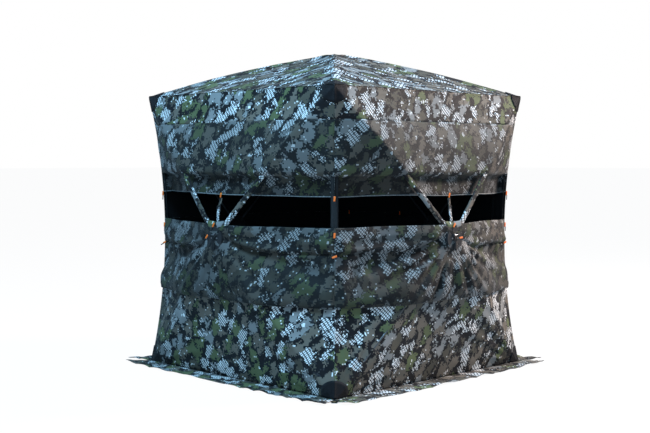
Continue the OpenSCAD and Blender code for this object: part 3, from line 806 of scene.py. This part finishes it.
def make_lower_curtain(side, seed):
    """The lower curtain. Its top is turned down in a slack roll, which is hooked up at the corners
    and over the hub, and its belly sags over the lower wall's seam."""
    columns = round(2 * HALF / CELL) + 1
    u = np.linspace(-1, 1, columns)
    x_flat = u * HALF
    roll_low = 0.706                # the roll's lower edge at the corners
    hook_lift = 0.072               # how much higher it is hooked up over the hub
    hook_reach = 0.34               # how far to each side the hook lifts it
    belly_out = 0.032               # how far the belly hangs out over the seam
    over_hub = ease(1 - np.abs(x_flat) / hook_reach)
    roll_z = roll_low + hook_lift * over_hub + waves(x_flat, x_flat * 0, 0.3, seed + 6) * 0.010
    top_z = SILL_Z + waves(x_flat, x_flat * 0, 0.4, seed + 9) * 0.006
    lip = [(0.006, 0.000), (-0.003, 0.010), (-0.006, 0.019), (-0.002, 0.027), (0.010, 0.031)]
    rows, depths = [], []
    for dz, out in lip:
        rows.append(np.full(columns, SEAM_Z + 0.006 + dz))
        depths.append(np.full(columns, out))
    bottom = SEAM_Z + 0.030
    for t in np.linspace(0, 1, 24):
        rows.append(bottom + (roll_z - 0.010 - bottom) * t)
        depths.append(np.full(columns, belly_out * (1 - ease(t)) + 0.004))
    # the roll's section: how far up it, and how far out
    roll_at = (0.0, 0.03, 0.08, 0.18, 0.35, 0.55, 0.75, 0.90, 1.0)
    roll_out = (-0.006, 0.008, 0.022, 0.032, 0.035, 0.030, 0.021, 0.011, 0.004)
    for t in np.concatenate([[0.0, 0.03, 0.08, 0.13], np.linspace(0.18, 1.0, 16)]):
        out = np.interp(t, roll_at, roll_out)
        rows.append(roll_z + (top_z - roll_z) * t)
        depths.append(np.full(columns, out) * (0.75 + 0.25 * np.sin(x_flat * 9 + seed)))
    rows.append(top_z + 0.003)
    depths.append(np.full(columns, -0.002))
    z, depth = np.array(rows), np.array(depths)
    x = (edge_x(z) + LIFT) * u[None, :]

    # slack folds run from the hub down to the corners, and gathers hang under the roll
    r = np.hypot(x, z - HUB_Z)
    angle = np.arctan2(HUB_Z - z, np.abs(x))
    below = ease((HUB_Z - z) / 0.05)
    drag = polar_folds(angle, r, seed + 1, 8, 0.6) * 0.027 * ease((r - 0.08) / 0.15) * below
    drag = drag * np.clip((z - SEAM_Z) / 0.06, 0, 1) * np.clip(1.5 - r / 0.75, 0, 1)
    gathers = waves(x, z, 0.040, seed + 3, (1, 0.28)) * 0.010 * below * ease(1 - np.abs(z - 0.66) / 0.12)
    crumple = waves(x, z, 0.090, seed + 8, (0.5, 1.2)) * 0.009
    in_roll = ease((z - roll_z) / 0.03) * ease((top_z - z) / 0.03)
    crumple += waves(x, z, 0.042, seed + 12, (0.18, 1)) * 0.008 * in_roll
    extra = (depth + drag + gathers + crumple) * hub_calm(x, z)
    # the darker slack copy of the cloth is painted shade of the curtain's folds and roll
    sheet = wall_sheet(side + "_lower_curtain", side, x, z, extra, seed + 0.3, CAMO_SLACK_SHADED)
    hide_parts("lower_curtain")
    bend_with_wall(sheet)
    declare_cut(side, SEAM_Z, SILL_Z, slack=0.09)
    return sheet


def make_skirt(side, seed):
    """A flap that lies on the ground along one wall, with a slightly wavy outer edge."""
    columns = round(2 * HALF / CELL) + 1
    u, t = np.meshgrid(np.linspace(-1, 1, columns), np.linspace(0, 1, 14))
    tip_reach = 0.075               # how far the ends point out past the corners
    rest_z = 0.0034                 # the flap's height over the ground where it lies flat
    tip = ease((np.abs(u) - 0.90) / 0.10) * np.sign(u)
    x = u * (HALF + 0.010) + tip_reach * t * tip
    hollow = 0.030 * (1 - np.cos(np.pi * u)) / 2 * t
    out = LIFT + t * (SKIRT - 0.014) + waves(x, t, 0.28, seed) * 0.012 * t - hollow * 0.3
    ripple = np.abs(waves(x, t * 0.4, 0.13, seed + 3)) * 0.016 * (0.3 + t)
    lifted = 0.010 * ease((np.abs(u) - 0.93) / 0.07) * t
    z = rest_z + (ripple + lifted) * np.clip(t * 5, 0, 1)
    skirt = grid_sheet(side + "_skirt", on_wall(side, x, out, z), np.stack([x + seed, t * SKIRT], -1))
    paint(skirt, CAMO, LINING)
    flip_if_down(skirt)
    thicken(skirt, CLOTH, lined=True)
    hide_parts("ground_skirt")
    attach(skirt, "shell")
    return skirt


def flip_if_down(obj):
    """Turns a sheet's faces up if they look down."""
    if sum(p.normal.z for p in obj.data.polygons) < 0:
        obj.data.flip_normals()


# ---- Trim -------------------------------------------------------------------------------------------
def ribbon(name, centre, across, width, thickness, finish, cut_shift=0.0):
    """A flat strip along a line of points. across gives its width's direction at each point."""
    centre = [Vector(p) for p in centre]
    across = [Vector(a).normalized() for a in across]
    stations = (-0.5, -0.25, 0.0, 0.25, 0.5)
    length = [0.0]
    for a, b in zip(centre, centre[1:]):
        length.append(length[-1] + (b - a).length)
    points = np.array([[tuple(c + a * (width * s)) for s in stations] for c, a in zip(centre, across)])
    cut = np.array([[(cut_shift + width * s, l) for s in stations] for l in length])
    strip = grid_sheet(name, points, cut)
    paint(strip, finish)
    thicken(strip, thickness, offset=0)
    return strip


def rod_line(side, sign, z, lift):
    """A place on a wall rod's line, lifted off the rod."""
    return on_wall(side, sign * HALF * share(z), wall_ridge(z) + lift, z)


def make_rod_sleeves(side):
    """Printed sleeves on the rods where they cross the open window."""
    made = []
    for sign, word in ((-1, "left"), (1, "right")):
        z = np.linspace(HUB_Z + 0.062, FOLD_Z + 0.035, 22)
        around = np.linspace(0, 2 * math.pi, 17)[:-1]
        half_width, half_depth = 0.0165, 0.0084
        direction = Vector(rod_line(side, sign, z[-1], 0)) - Vector(rod_line(side, sign, z[0], 0))
        normal = Vector(on_wall(side, 0, 1, 0)) - Vector(on_wall(side, 0, 0, 0))
        flat = direction.cross(normal).normalized()
        rings, cuts = [], []
        for i, height in enumerate(z):
            centre = Vector(rod_line(side, sign, height, 0.002))
            wide = half_width + 0.0012 * math.sin(i * 1.7)
            rings.append([tuple(centre + flat * (wide * math.cos(a)) + normal * (half_depth * math.sin(a)))
                          for a in around])
            cuts.append([(math.cos(a) * wide + 0.7 + sign, height) for a in around])
        sleeve = grid_sheet(f"{side}_rod_sleeve_{word}", np.array(rings), np.array(cuts), closed=True)
        paint(sleeve, CAMO_TAPE)
        outward(sleeve)
        thicken(sleeve, CLOTH)
        bend_with_wall(sleeve)
        made.append(sleeve)
    return made


def outward(obj):
    """Points a closed mesh's faces outwards."""
    use(obj)
    bpy.ops.object.mode_set(mode="EDIT")
    bpy.ops.mesh.select_all(action="SELECT")
    bpy.ops.mesh.normals_make_consistent(inside=False)
    bpy.ops.object.mode_set(mode="OBJECT")


def make_hub_pocket(side):
    """The pocket's top edge, which shows above the lower curtain at the foot of the rods."""
    z = np.linspace(HUB_Z + 0.048, HUB_Z + 0.094, 7)
    u = np.linspace(-1, 1, 17)
    half_width = 0.046 + (z - z[0]) * 0.55
    x = half_width[:, None] * u[None, :]
    height = z[:, None] - 0.006 * (1 - u[None, :] ** 2) * ease((z[:, None] - z[0]) / 0.046)
    out = PUSH + 0.0135 - 0.012 * ease((z[:, None] - z[0] - 0.02) / 0.03) + 0 * x
    pocket = grid_sheet(side + "_hub_pocket", on_wall(side, x, out, height),
                        np.stack([x + 0.2, height], -1))
    paint(pocket, CAMO_TAPE)
    face_away(pocket)
    thicken(pocket, CLOTH)
    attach(pocket, side + "_hub")
    return pocket


def make_hub_strap(side):
    """The strap from the hem's toggle down to the hub's pocket, with its black adjuster."""
    z = np.linspace(HUB_Z + 0.070, HEM_Z - 0.020, 16)
    bow = np.sin(np.linspace(0, math.pi, 16)) * 0.003
    out = PUSH - (z - HUB_Z) * 0.17 + 0.006 + bow
    line = [on_wall(side, 0.003 * math.sin(h * 40), o, h) for h, o in zip(z, out)]
    sideways = Vector(on_wall(side, 1, 0, 0)) - Vector(on_wall(side, 0, 0, 0))
    strap = ribbon(side + "_hub_strap", line, [sideways] * len(line), 0.018, HEAVY, CAMO_TAPE, 0.4)
    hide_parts("hub_straps")
    bend_with_wall(strap)
    bars = []
    for rise in (-0.014, 0.0, 0.014):
        bars.append(rounded_block("bar", (0.026, 0.0058, 0.0050), line[9] + np.array([0, 0, rise]),
                                  wall_turn(side), HUB_BLACK, 0.0018))
    for sign in (-1, 1):
        at = Vector(line[9]) + sideways * (0.0115 * sign)
        bars.append(rounded_block("rail", (0.0040, 0.0052, 0.033), at, wall_turn(side), HUB_BLACK, 0.0018))
    buckle = join(bars, side + "_strap_adjuster")
    bend_with_wall(buckle)
    return strap


def make_corner_webbing(index):
    """Black tape down the inside of a corner."""
    side = SIDES[index]
    end_gap, width = 0.045, 0.038
    z = np.linspace(end_gap, EAVE_Z - end_gap, 50)
    corner = edge_x(z) + LIFT - 0.012
    line = [on_wall(side, c, c - HALF, h) for c, h in zip(corner, z)]
    inward = Vector(on_wall(side, 1, 1, 0)) - Vector(on_wall(side, 0, 0, 0))
    flat = Vector((-inward.y, inward.x, 0))
    tape = ribbon(f"{side}_corner_webbing", line, [flat] * len(line), width, HEAVY, BLACK_TAPE)
    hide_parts("corner_webbing")
    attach(tape, "shell")
    return tape


def make_corner_patch(index, top):
    """A round black patch over a corner, on both walls and, at the top, on the roof."""
    steps, rows, level = 14, 8, 0.0030
    side, next_side = SIDES[index], SIDES[(index + 1) % 4]
    corner_z = EAVE_Z + LIFT if top else 0.004
    way = -1 if top else 1
    fans = []
    for at, sign in ((side, 1), (next_side, -1)):
        angle, r = np.meshgrid(np.linspace(0, math.pi / 2, steps), np.linspace(0.003, PATCH_R, rows))
        z = corner_z + way * r * np.cos(angle)
        x = sign * (edge_x(np.clip(z, 0, EAVE_Z)) + LIFT + level - r * np.sin(angle))
        out = wall_out(x, z) + LIFT + level
        fans.append(on_wall(at, x, out, z))
    wall_fan = np.concatenate([fans[0][:, ::-1], fans[1][:, 1:]], 1)
    around, outwards = np.meshgrid(np.linspace(0, 0.25, wall_fan.shape[1]), np.linspace(0, PATCH_R, rows))
    patch = grid_sheet(f"{side}_{'top' if top else 'ground'}_patch", wall_fan,
                       np.stack([around, outwards], -1))
    paint(patch, BLACK_CLOTH)
    face_away(patch)
    thicken(patch, HEAVY)
    pieces = [patch]
    if top:
        pieces.append(make_roof_patch(index, steps, rows, level))
    for piece in pieces:
        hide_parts("corner_patches")
        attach(piece, "shell")
    return pieces


def face_away(obj, middle=Vector((0, 0, 0.77))):
    """Points an open sheet's faces away from the middle of the blind."""
    if sum(p.normal.dot(p.center - middle) for p in obj.data.polygons) < 0:
        obj.data.flip_normals()


def make_roof_patch(index, steps, rows, level):
    """The part of a top patch that lies on the roof."""
    turn = math.radians(90 * index)
    angle, r = np.meshgrid(np.linspace(0, math.pi / 2, 2 * steps - 1), np.linspace(0.003, PATCH_R, rows))
    x = HALF + LIFT + level - r * np.sin(angle)
    y = -(HALF + LIFT + level) + r * np.cos(angle)
    z = roof_height(x, y) + LIFT + level + 0.002 * ease(r / PATCH_R)
    points = np.stack([x * math.cos(turn) - y * math.sin(turn),
                       x * math.sin(turn) + y * math.cos(turn), z], -1)
    patch = grid_sheet(f"{SIDES[index]}_roof_patch", points, np.stack([x, y], -1))
    paint(patch, BLACK_CLOTH)
    face_away(patch)
    thicken(patch, HEAVY)
    return patch


def round_edges(obj, width):
    """Bevels a piece's edges with three steps."""
    bevel = obj.modifiers.new("Rounding", "BEVEL")
    bevel.width = width
    bevel.segments = 3
    apply_modifiers(obj)


def rounded_block(name, size, at, turn, finish, bevel):
    """A small block with rounded edges, set in place."""
    deselect()
    bpy.ops.mesh.primitive_cube_add(size=1)
    block = bpy.context.object
    block.name = name
    block.scale = size
    settle(block)
    round_edges(block, bevel)
    block.matrix_world = Matrix.Translation(Vector(at)) @ Matrix(turn).to_4x4()
    settle(block)
    paint(block, finish)
    smooth(block)
    return block


def wall_turn(side, tilt=0.0):
    """Axes of a piece that lies on a wall: X along it, Y inwards, Z up."""
    return Matrix.Rotation(math.radians(90 * SIDES.index(side)), 3, "Z") @ Matrix.Rotation(tilt, 3, "Y")


def join(pieces, name):
    """Makes one object of several."""
    deselect()
    for piece in pieces:
        piece.select_set(True)
    bpy.context.view_layer.objects.active = pieces[0]
    bpy.ops.object.join()
    pieces[0].name = name
    pieces[0].data.name = name
    return pieces[0]


def make_toggle(name, at, turn):
    """An orange pull tab on a black tail."""
    tab_size = (0.010, 0.005, 0.026)
    tail_size = (0.006, 0.0022, 0.026)
    tab = rounded_block(name, tab_size, at, turn, ORANGE, 0.0022)
    tail_at = Vector(at) + turn @ Vector((0.003, -0.001, -0.024))
    tail = rounded_block(name + "_tail", tail_size, tail_at, turn, BLACK_TAPE, 0.0009)
    return join([tab, tail], name)


def make_wall_toggles(side):
    """The tabs that hook an open wall's curtains up."""
    places = [(0.004, HEM_Z - 0.004, 0.012, 0.25), (-0.006, SILL_Z + 0.001, 0.017, 0.55),
              (-0.047, HUB_Z + 0.006, 0.030, 0.75)]
    if side == "right":
        places[2] = (0.034, HUB_Z + 0.002, 0.030, 1.45)
    made = []
    for i, (x, z, lift, tilt) in enumerate(places):
        surface = PUSH if z < HUB_Z + 0.1 else PUSH - (z - HUB_Z) * 0.17
        made.append(make_toggle(f"toggle_{i}", on_wall(side, x, surface + lift, z), wall_turn(side, tilt)))
    tabs = join(made, side + "_toggles")
    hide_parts("curtain_toggles")
    bend_with_wall(tabs)
    return tabs


def make_corner_toggles(index):
    """The tabs at a corner: on its edge at the front, beside it at the others."""
    made = []
    heights = [(HEM_Z - 0.010, 0.1), (HUB_Z + 0.038, 0.05), (HUB_Z - 0.066, 1.2)]
    for i, (z, tilt) in enumerate(heights):
        if index == 0:
            reach = edge_x(z) + LIFT + 0.011 + (0.014 if z < HUB_Z else 0)
            at = on_wall("front", reach, reach - HALF, z)
            turn = Matrix.Rotation(math.radians(45), 3, "Z") @ Matrix.Rotation(tilt, 3, "Y")
        else:
            side, sign = {1: ("right", 1), 2: ("back", 1), 3: ("front", -1)}[index]
            x = sign * (edge_x(z) - 0.016)
            at = on_wall(side, x, wall_out(x, z) + LIFT + 0.020, z)
            turn = wall_turn(side, tilt)
        made.append(make_toggle(f"corner_{index}_{i}", at, turn))
    tabs = join(made, f"corner_toggles_{index + 1}")
    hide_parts("curtain_toggles")
    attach(tabs, "shell")
    return tabs


def make_inner_toggles():
    """Tabs of the back wall's curtains, on its inside."""
    made = []
    for i, x in enumerate((0.225, 0.58)):
        at = on_wall("back", x, float(wall_out(x, SILL_Z)) + LIFT - 0.012, SILL_Z)
        made.append(make_toggle(f"inner_{i}", at, wall_turn("back", 0.1)))
    tabs = join(made, "inner_toggles")
    bend_with_wall(tabs)
    return tabs


def make_handle(side):
    """A pull handle: flat webbing through the hub's lugs, sewn into a round sleeve at its end."""
    low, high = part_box(side + "_pull_handle")
    middle = (low + high) / 2
    span = (high - low).z
    grip_r, grip_share = 0.0075, 0.56
    turn = wall_turn(side if side != "roof" else "front")
    deselect()
    bpy.ops.mesh.primitive_cylinder_add(vertices=24, radius=grip_r, depth=span * grip_share)
    grip = bpy.context.object
    grip.scale = (1.35, 0.60, 1)
    settle(grip)
    round_edges(grip, 0.0025)
    grip.matrix_world = Matrix.Translation(middle - Vector((0, 0, span * 0.21))) @ turn.to_4x4()
    settle(grip)
    paint(grip, HANDLE_TAPE)
    smooth(grip)
    parts = [grip]
    for sign in (-1, 1):
        at = middle + turn @ Vector((0.0048 * sign, 0, span * 0.22))
        parts.append(rounded_block("strap", (0.0085, 0.0030, span * 0.50), at, turn, HANDLE_TAPE, 0.0010))
    handle = join(parts, side + "_handle_grip")
    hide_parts(side + "_pull_handle")
    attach(handle, side + "_handle")
    return handle


def make_stake_loop(index):
    """A webbing loop at a corner with a hole for the grommet."""
    turn = math.radians(90 * index)
    stake = HALF + 0.045
    hole_r, half_length, half_width, tail = 0.0086, 0.0215, 0.0150, 0.020
    centre = Vector((stake * (math.cos(turn) + math.sin(turn)), stake * (math.sin(turn) - math.cos(turn)), 0))
    out = centre.normalized()
    across = Vector((-out.y, out.x, 0))
    around = np.linspace(0, 2 * math.pi, 33)[:-1]
    rings = []
    for t in np.linspace(0, 1, 5):
        ring = []
        for a in around:
            hole = Vector((math.cos(a), math.sin(a), 0)) * hole_r
            c, s = math.cos(a), math.sin(a)
            scale = 1 / max(abs(c) / half_length, abs(s) / half_width)
            rim = Vector((c * scale - tail * (c < -0.55), s * scale, 0))
            flat = hole + (rim - hole) * t
            ring.append(tuple(centre + out * flat.x + across * flat.y + Vector((0, 0, 0.0011))))
        rings.append(ring)
    points = np.array(rings)
    loop = grid_sheet(f"{SIDES[index]}_stake_loop", points, points[..., :2], closed=True)
    paint(loop, BLACK_TAPE)
    flip_if_down(loop)
    thicken(loop, 0.0020, offset=0)
    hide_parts("stake_loops")
    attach(loop, "shell")
    return loop


# ---- Door ---------------------------------------------------------------------------------------------
def door_rise(x):
    """Half the doorway's height at a distance from the wall's middle."""
    return HUB_Z * x / HALF - DOOR_ROD_GAP


def door_out(x):
    """How far the flat door stands out of the corner plane."""
    slope = -(PUSH + CORNER_BOW) / (HALF - CORNER_BOW)
    return PUSH + slope * x


def door_grid(lap, columns=40, rows=60):
    """A grid over the door, which reaches past its opening by the lap."""
    u, v = np.meshgrid(np.linspace(0, 1, columns), np.linspace(-1, 1, rows))
    x = DOOR_IN - lap + u * (DOOR_HINGE - DOOR_IN + lap)
    return u, v, x, HUB_Z + v * (door_rise(x) + lap)


def make_door():
    """The door's flap, which laps over the opening in the back wall."""
    lap, proud, slack = 0.014, 0.006, 0.003
    u, v, x, z = door_grid(lap)
    relief = waves(x, z, 0.22, 21.0) * slack * (1 - v ** 8) + slack * u * (1 - u)
    out = door_out(x) + LIFT + proud + relief
    door = grid_sheet("door", on_wall("back", -x, out, z), np.stack([-x + 2.3, z], -1))
    paint(door, CAMO, LINING)
    face_away(door)
    thicken(door, CLOTH, lined=True)
    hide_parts("door_panel")
    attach(door, "door")
    return door


def make_door_tape():
    """Black tape inside the opening's edge, on all four sides."""
    tape_w = 0.022
    corners = [(DOOR_IN, -1), (DOOR_IN, 1), (DOOR_HINGE, 1), (DOOR_HINGE, -1)]
    outer = [(x, HUB_Z + up * door_rise(x)) for x, up in corners]
    middle_x = (DOOR_IN + DOOR_HINGE) / 2 + 0.05
    inner = []
    for x, z in outer:
        nearer = x + math.copysign(tape_w, middle_x - x)
        up = 1 if z > HUB_Z else -1
        inner.append((nearer, HUB_Z + up * (door_rise(nearer) - tape_w * 1.4)))
    strips = []
    for k in range(4):
        a0, a1, b0, b1 = outer[k], outer[(k + 1) % 4], inner[k], inner[(k + 1) % 4]
        t, w = np.meshgrid(np.linspace(0, 1, 40), np.linspace(0, 1, 3))
        x = (a0[0] + (a1[0] - a0[0]) * t) * (1 - w) + (b0[0] + (b1[0] - b0[0]) * t) * w
        z = (a0[1] + (a1[1] - a0[1]) * t) * (1 - w) + (b0[1] + (b1[1] - b0[1]) * t) * w
        strip = grid_sheet(f"tape_{k}", on_wall("back", -x, door_out(x) + LIFT - 0.004, z),
                           np.stack([x, z], -1))
        paint(strip, BLACK_TAPE)
        face_away(strip)
        strips.append(strip)
    tape = join(strips, "door_edge_tape")
    thicken(tape, 0.0018)
    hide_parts("door_tape")
    bend_with_wall(tape)
    return tape


def make_door_toggles():
    """The door's pull tabs, along its inner edge."""
    made = []
    for up in (-1, 0, 1):
        x = DOOR_IN + 0.026 + abs(up) * DOOR_IN
        z = HUB_Z + up * (door_rise(x) - 0.026)
        turn = wall_turn("back") @ Matrix.Rotation(math.radians(90), 3, "Y")
        at = on_wall("back", -x, door_out(x) + LIFT + 0.011, z)
        made.append(make_toggle(f"door_tab_{up + 1}", at, turn))
    tabs = join(made, "door_tabs")
    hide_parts("door_toggles")
    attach(tabs, "door")
    return tabs


# ---- Stage ----------------------------------------------------------------------------------------------
def make_stage():
    """A plain pale floor. The camera sees it nearly white, so that it runs into the background,
    but not inside the blind, where it is in shade."""
    deselect()
    bpy.ops.mesh.primitive_plane_add(size=300)
    floor = bpy.context.object
    floor.name = "floor"
    nodes = Nodes("pale_floor")
    nodes.set(base_color=(0.45, 0.45, 0.45, 1), roughness=0.95, specular_ior_level=0.1)
    glow = nodes.add("ShaderNodeEmission")
    glow.inputs["Color"].default_value = (1, 1, 1, 1)
    glow.inputs["Strength"].default_value = 1.09
    seen = nodes.add("ShaderNodeMixShader")
    path = nodes.add("ShaderNodeLightPath")
    separate = nodes.add("ShaderNodeSeparateXYZ")
    nodes.link(nodes.place(), separate.inputs[0])
    from_middle = nodes.math("MAXIMUM", nodes.math("ABSOLUTE", separate.outputs["X"]),
                             nodes.math("ABSOLUTE", separate.outputs["Y"]))
    outside = nodes.step(from_middle, HALF + 0.06, 0.04)
    bright = nodes.math("MULTIPLY", path.outputs["Is Camera Ray"], 0.88)
    nodes.link(nodes.math("MULTIPLY", bright, outside), seen.inputs[0])
    nodes.link(nodes.shader.outputs[0], seen.inputs[1])
    nodes.link(glow.outputs[0], seen.inputs[2])
    nodes.link(seen.outputs[0], nodes.tree.nodes["Material Output"].inputs["Surface"])
    paint(floor, nodes.material)


def add_light(name, at, target, size, power, colour):
    """A square soft light that looks at a target."""
    data = bpy.data.lights.new(name, "AREA")
    data.size = size
    data.energy = power
    data.color = colour
    lamp = bpy.data.objects.new(name, data)
    bpy.context.collection.objects.link(lamp)
    lamp.location = at
    lamp.rotation_euler = (Vector(target) - Vector(at)).to_track_quat("-Z", "Y").to_euler()


def make_light():
    """Cool soft light from the front and the sky, and warm light that grazes the right wall."""
    bpy.context.scene.view_settings.view_transform = "Standard"
    world = bpy.data.worlds.new("studio")
    bpy.context.scene.world = world
    world.use_nodes = True
    background = world.node_tree.nodes["Background"]
    background.inputs["Color"].default_value = (0.56, 0.98, 1.40, 1)
    background.inputs["Strength"].default_value = 0.20
    white = world.node_tree.nodes.new("ShaderNodeBackground")
    white.inputs["Color"].default_value = (1, 1, 1, 1)
    path = world.node_tree.nodes.new("ShaderNodeLightPath")
    mix = world.node_tree.nodes.new("ShaderNodeMixShader")
    out = world.node_tree.nodes["World Output"]
    links = world.node_tree.links
    links.new(path.outputs["Is Camera Ray"], mix.inputs[0])
    links.new(background.outputs[0], mix.inputs[1])
    links.new(white.outputs[0], mix.inputs[2])
    links.new(mix.outputs[0], out.inputs["Surface"])
    add_light("cool_sky", (1.3, -3.6, 6.2), (0, -0.2, 0.9), 2.4, 420, (0.51, 0.99, 1.42))
    add_light("cool_fill", (3.8, -5.2, 1.8), (0, 0, 0.9), 2.4, 50, (0.60, 1.00, 1.32))
    add_light("warm_side", (3.0, 5.2, 4.4), (0.4, 0, 0.8), 1.6, 640, (1.20, 0.98, 0.86))


def make_camera():
    """Eye height 1.18 m, 6.55 m from the blind's middle, looking at the corner between the open walls."""
    distance = 6.55
    height = 1.18
    focus = 1.726                   # focal length over the sensor's width
    data = bpy.data.cameras.new("camera")
    data.sensor_width = 36
    data.lens = data.sensor_width * focus
    camera = bpy.data.objects.new("camera", data)
    bpy.context.collection.objects.link(camera)
    azimuth = math.radians(45)
    camera.location = (distance * math.sin(azimuth), -distance * math.cos(azimuth), height)
    tilt = math.radians(-2.86)
    turn = math.radians(0.485)
    camera.rotation_euler = (math.pi / 2 + tilt, 0, azimuth + turn)
    bpy.context.scene.camera = camera


# ---- Build ----------------------------------------------------------------------------------------------
make_camera()
make_light()
make_stage()
dress_cad_nodes()
make_roof()
for number, wall in enumerate(SIDES):
    shift = 3.0 * number + 0.5
    make_eave_band(wall, shift)
    make_lower_curtain(wall, shift)
    make_lower_wall(wall, shift)
    make_skirt(wall, shift)
    if wall in OPEN_SIDES:
        make_open_curtain(wall, shift)
        make_rod_sleeves(wall)
        make_hub_pocket(wall)
        make_hub_strap(wall)
        make_wall_toggles(wall)
    else:
        make_closed_curtain(wall, shift)
    make_corner_webbing(number)
    make_corner_patch(number, top=True)
    make_corner_patch(number, top=False)
    make_corner_toggles(number)
    make_stake_loop(number)
    make_handle(wall)
make_handle("roof")
make_inner_toggles()
make_door()
make_door_tape()
make_door_toggles()
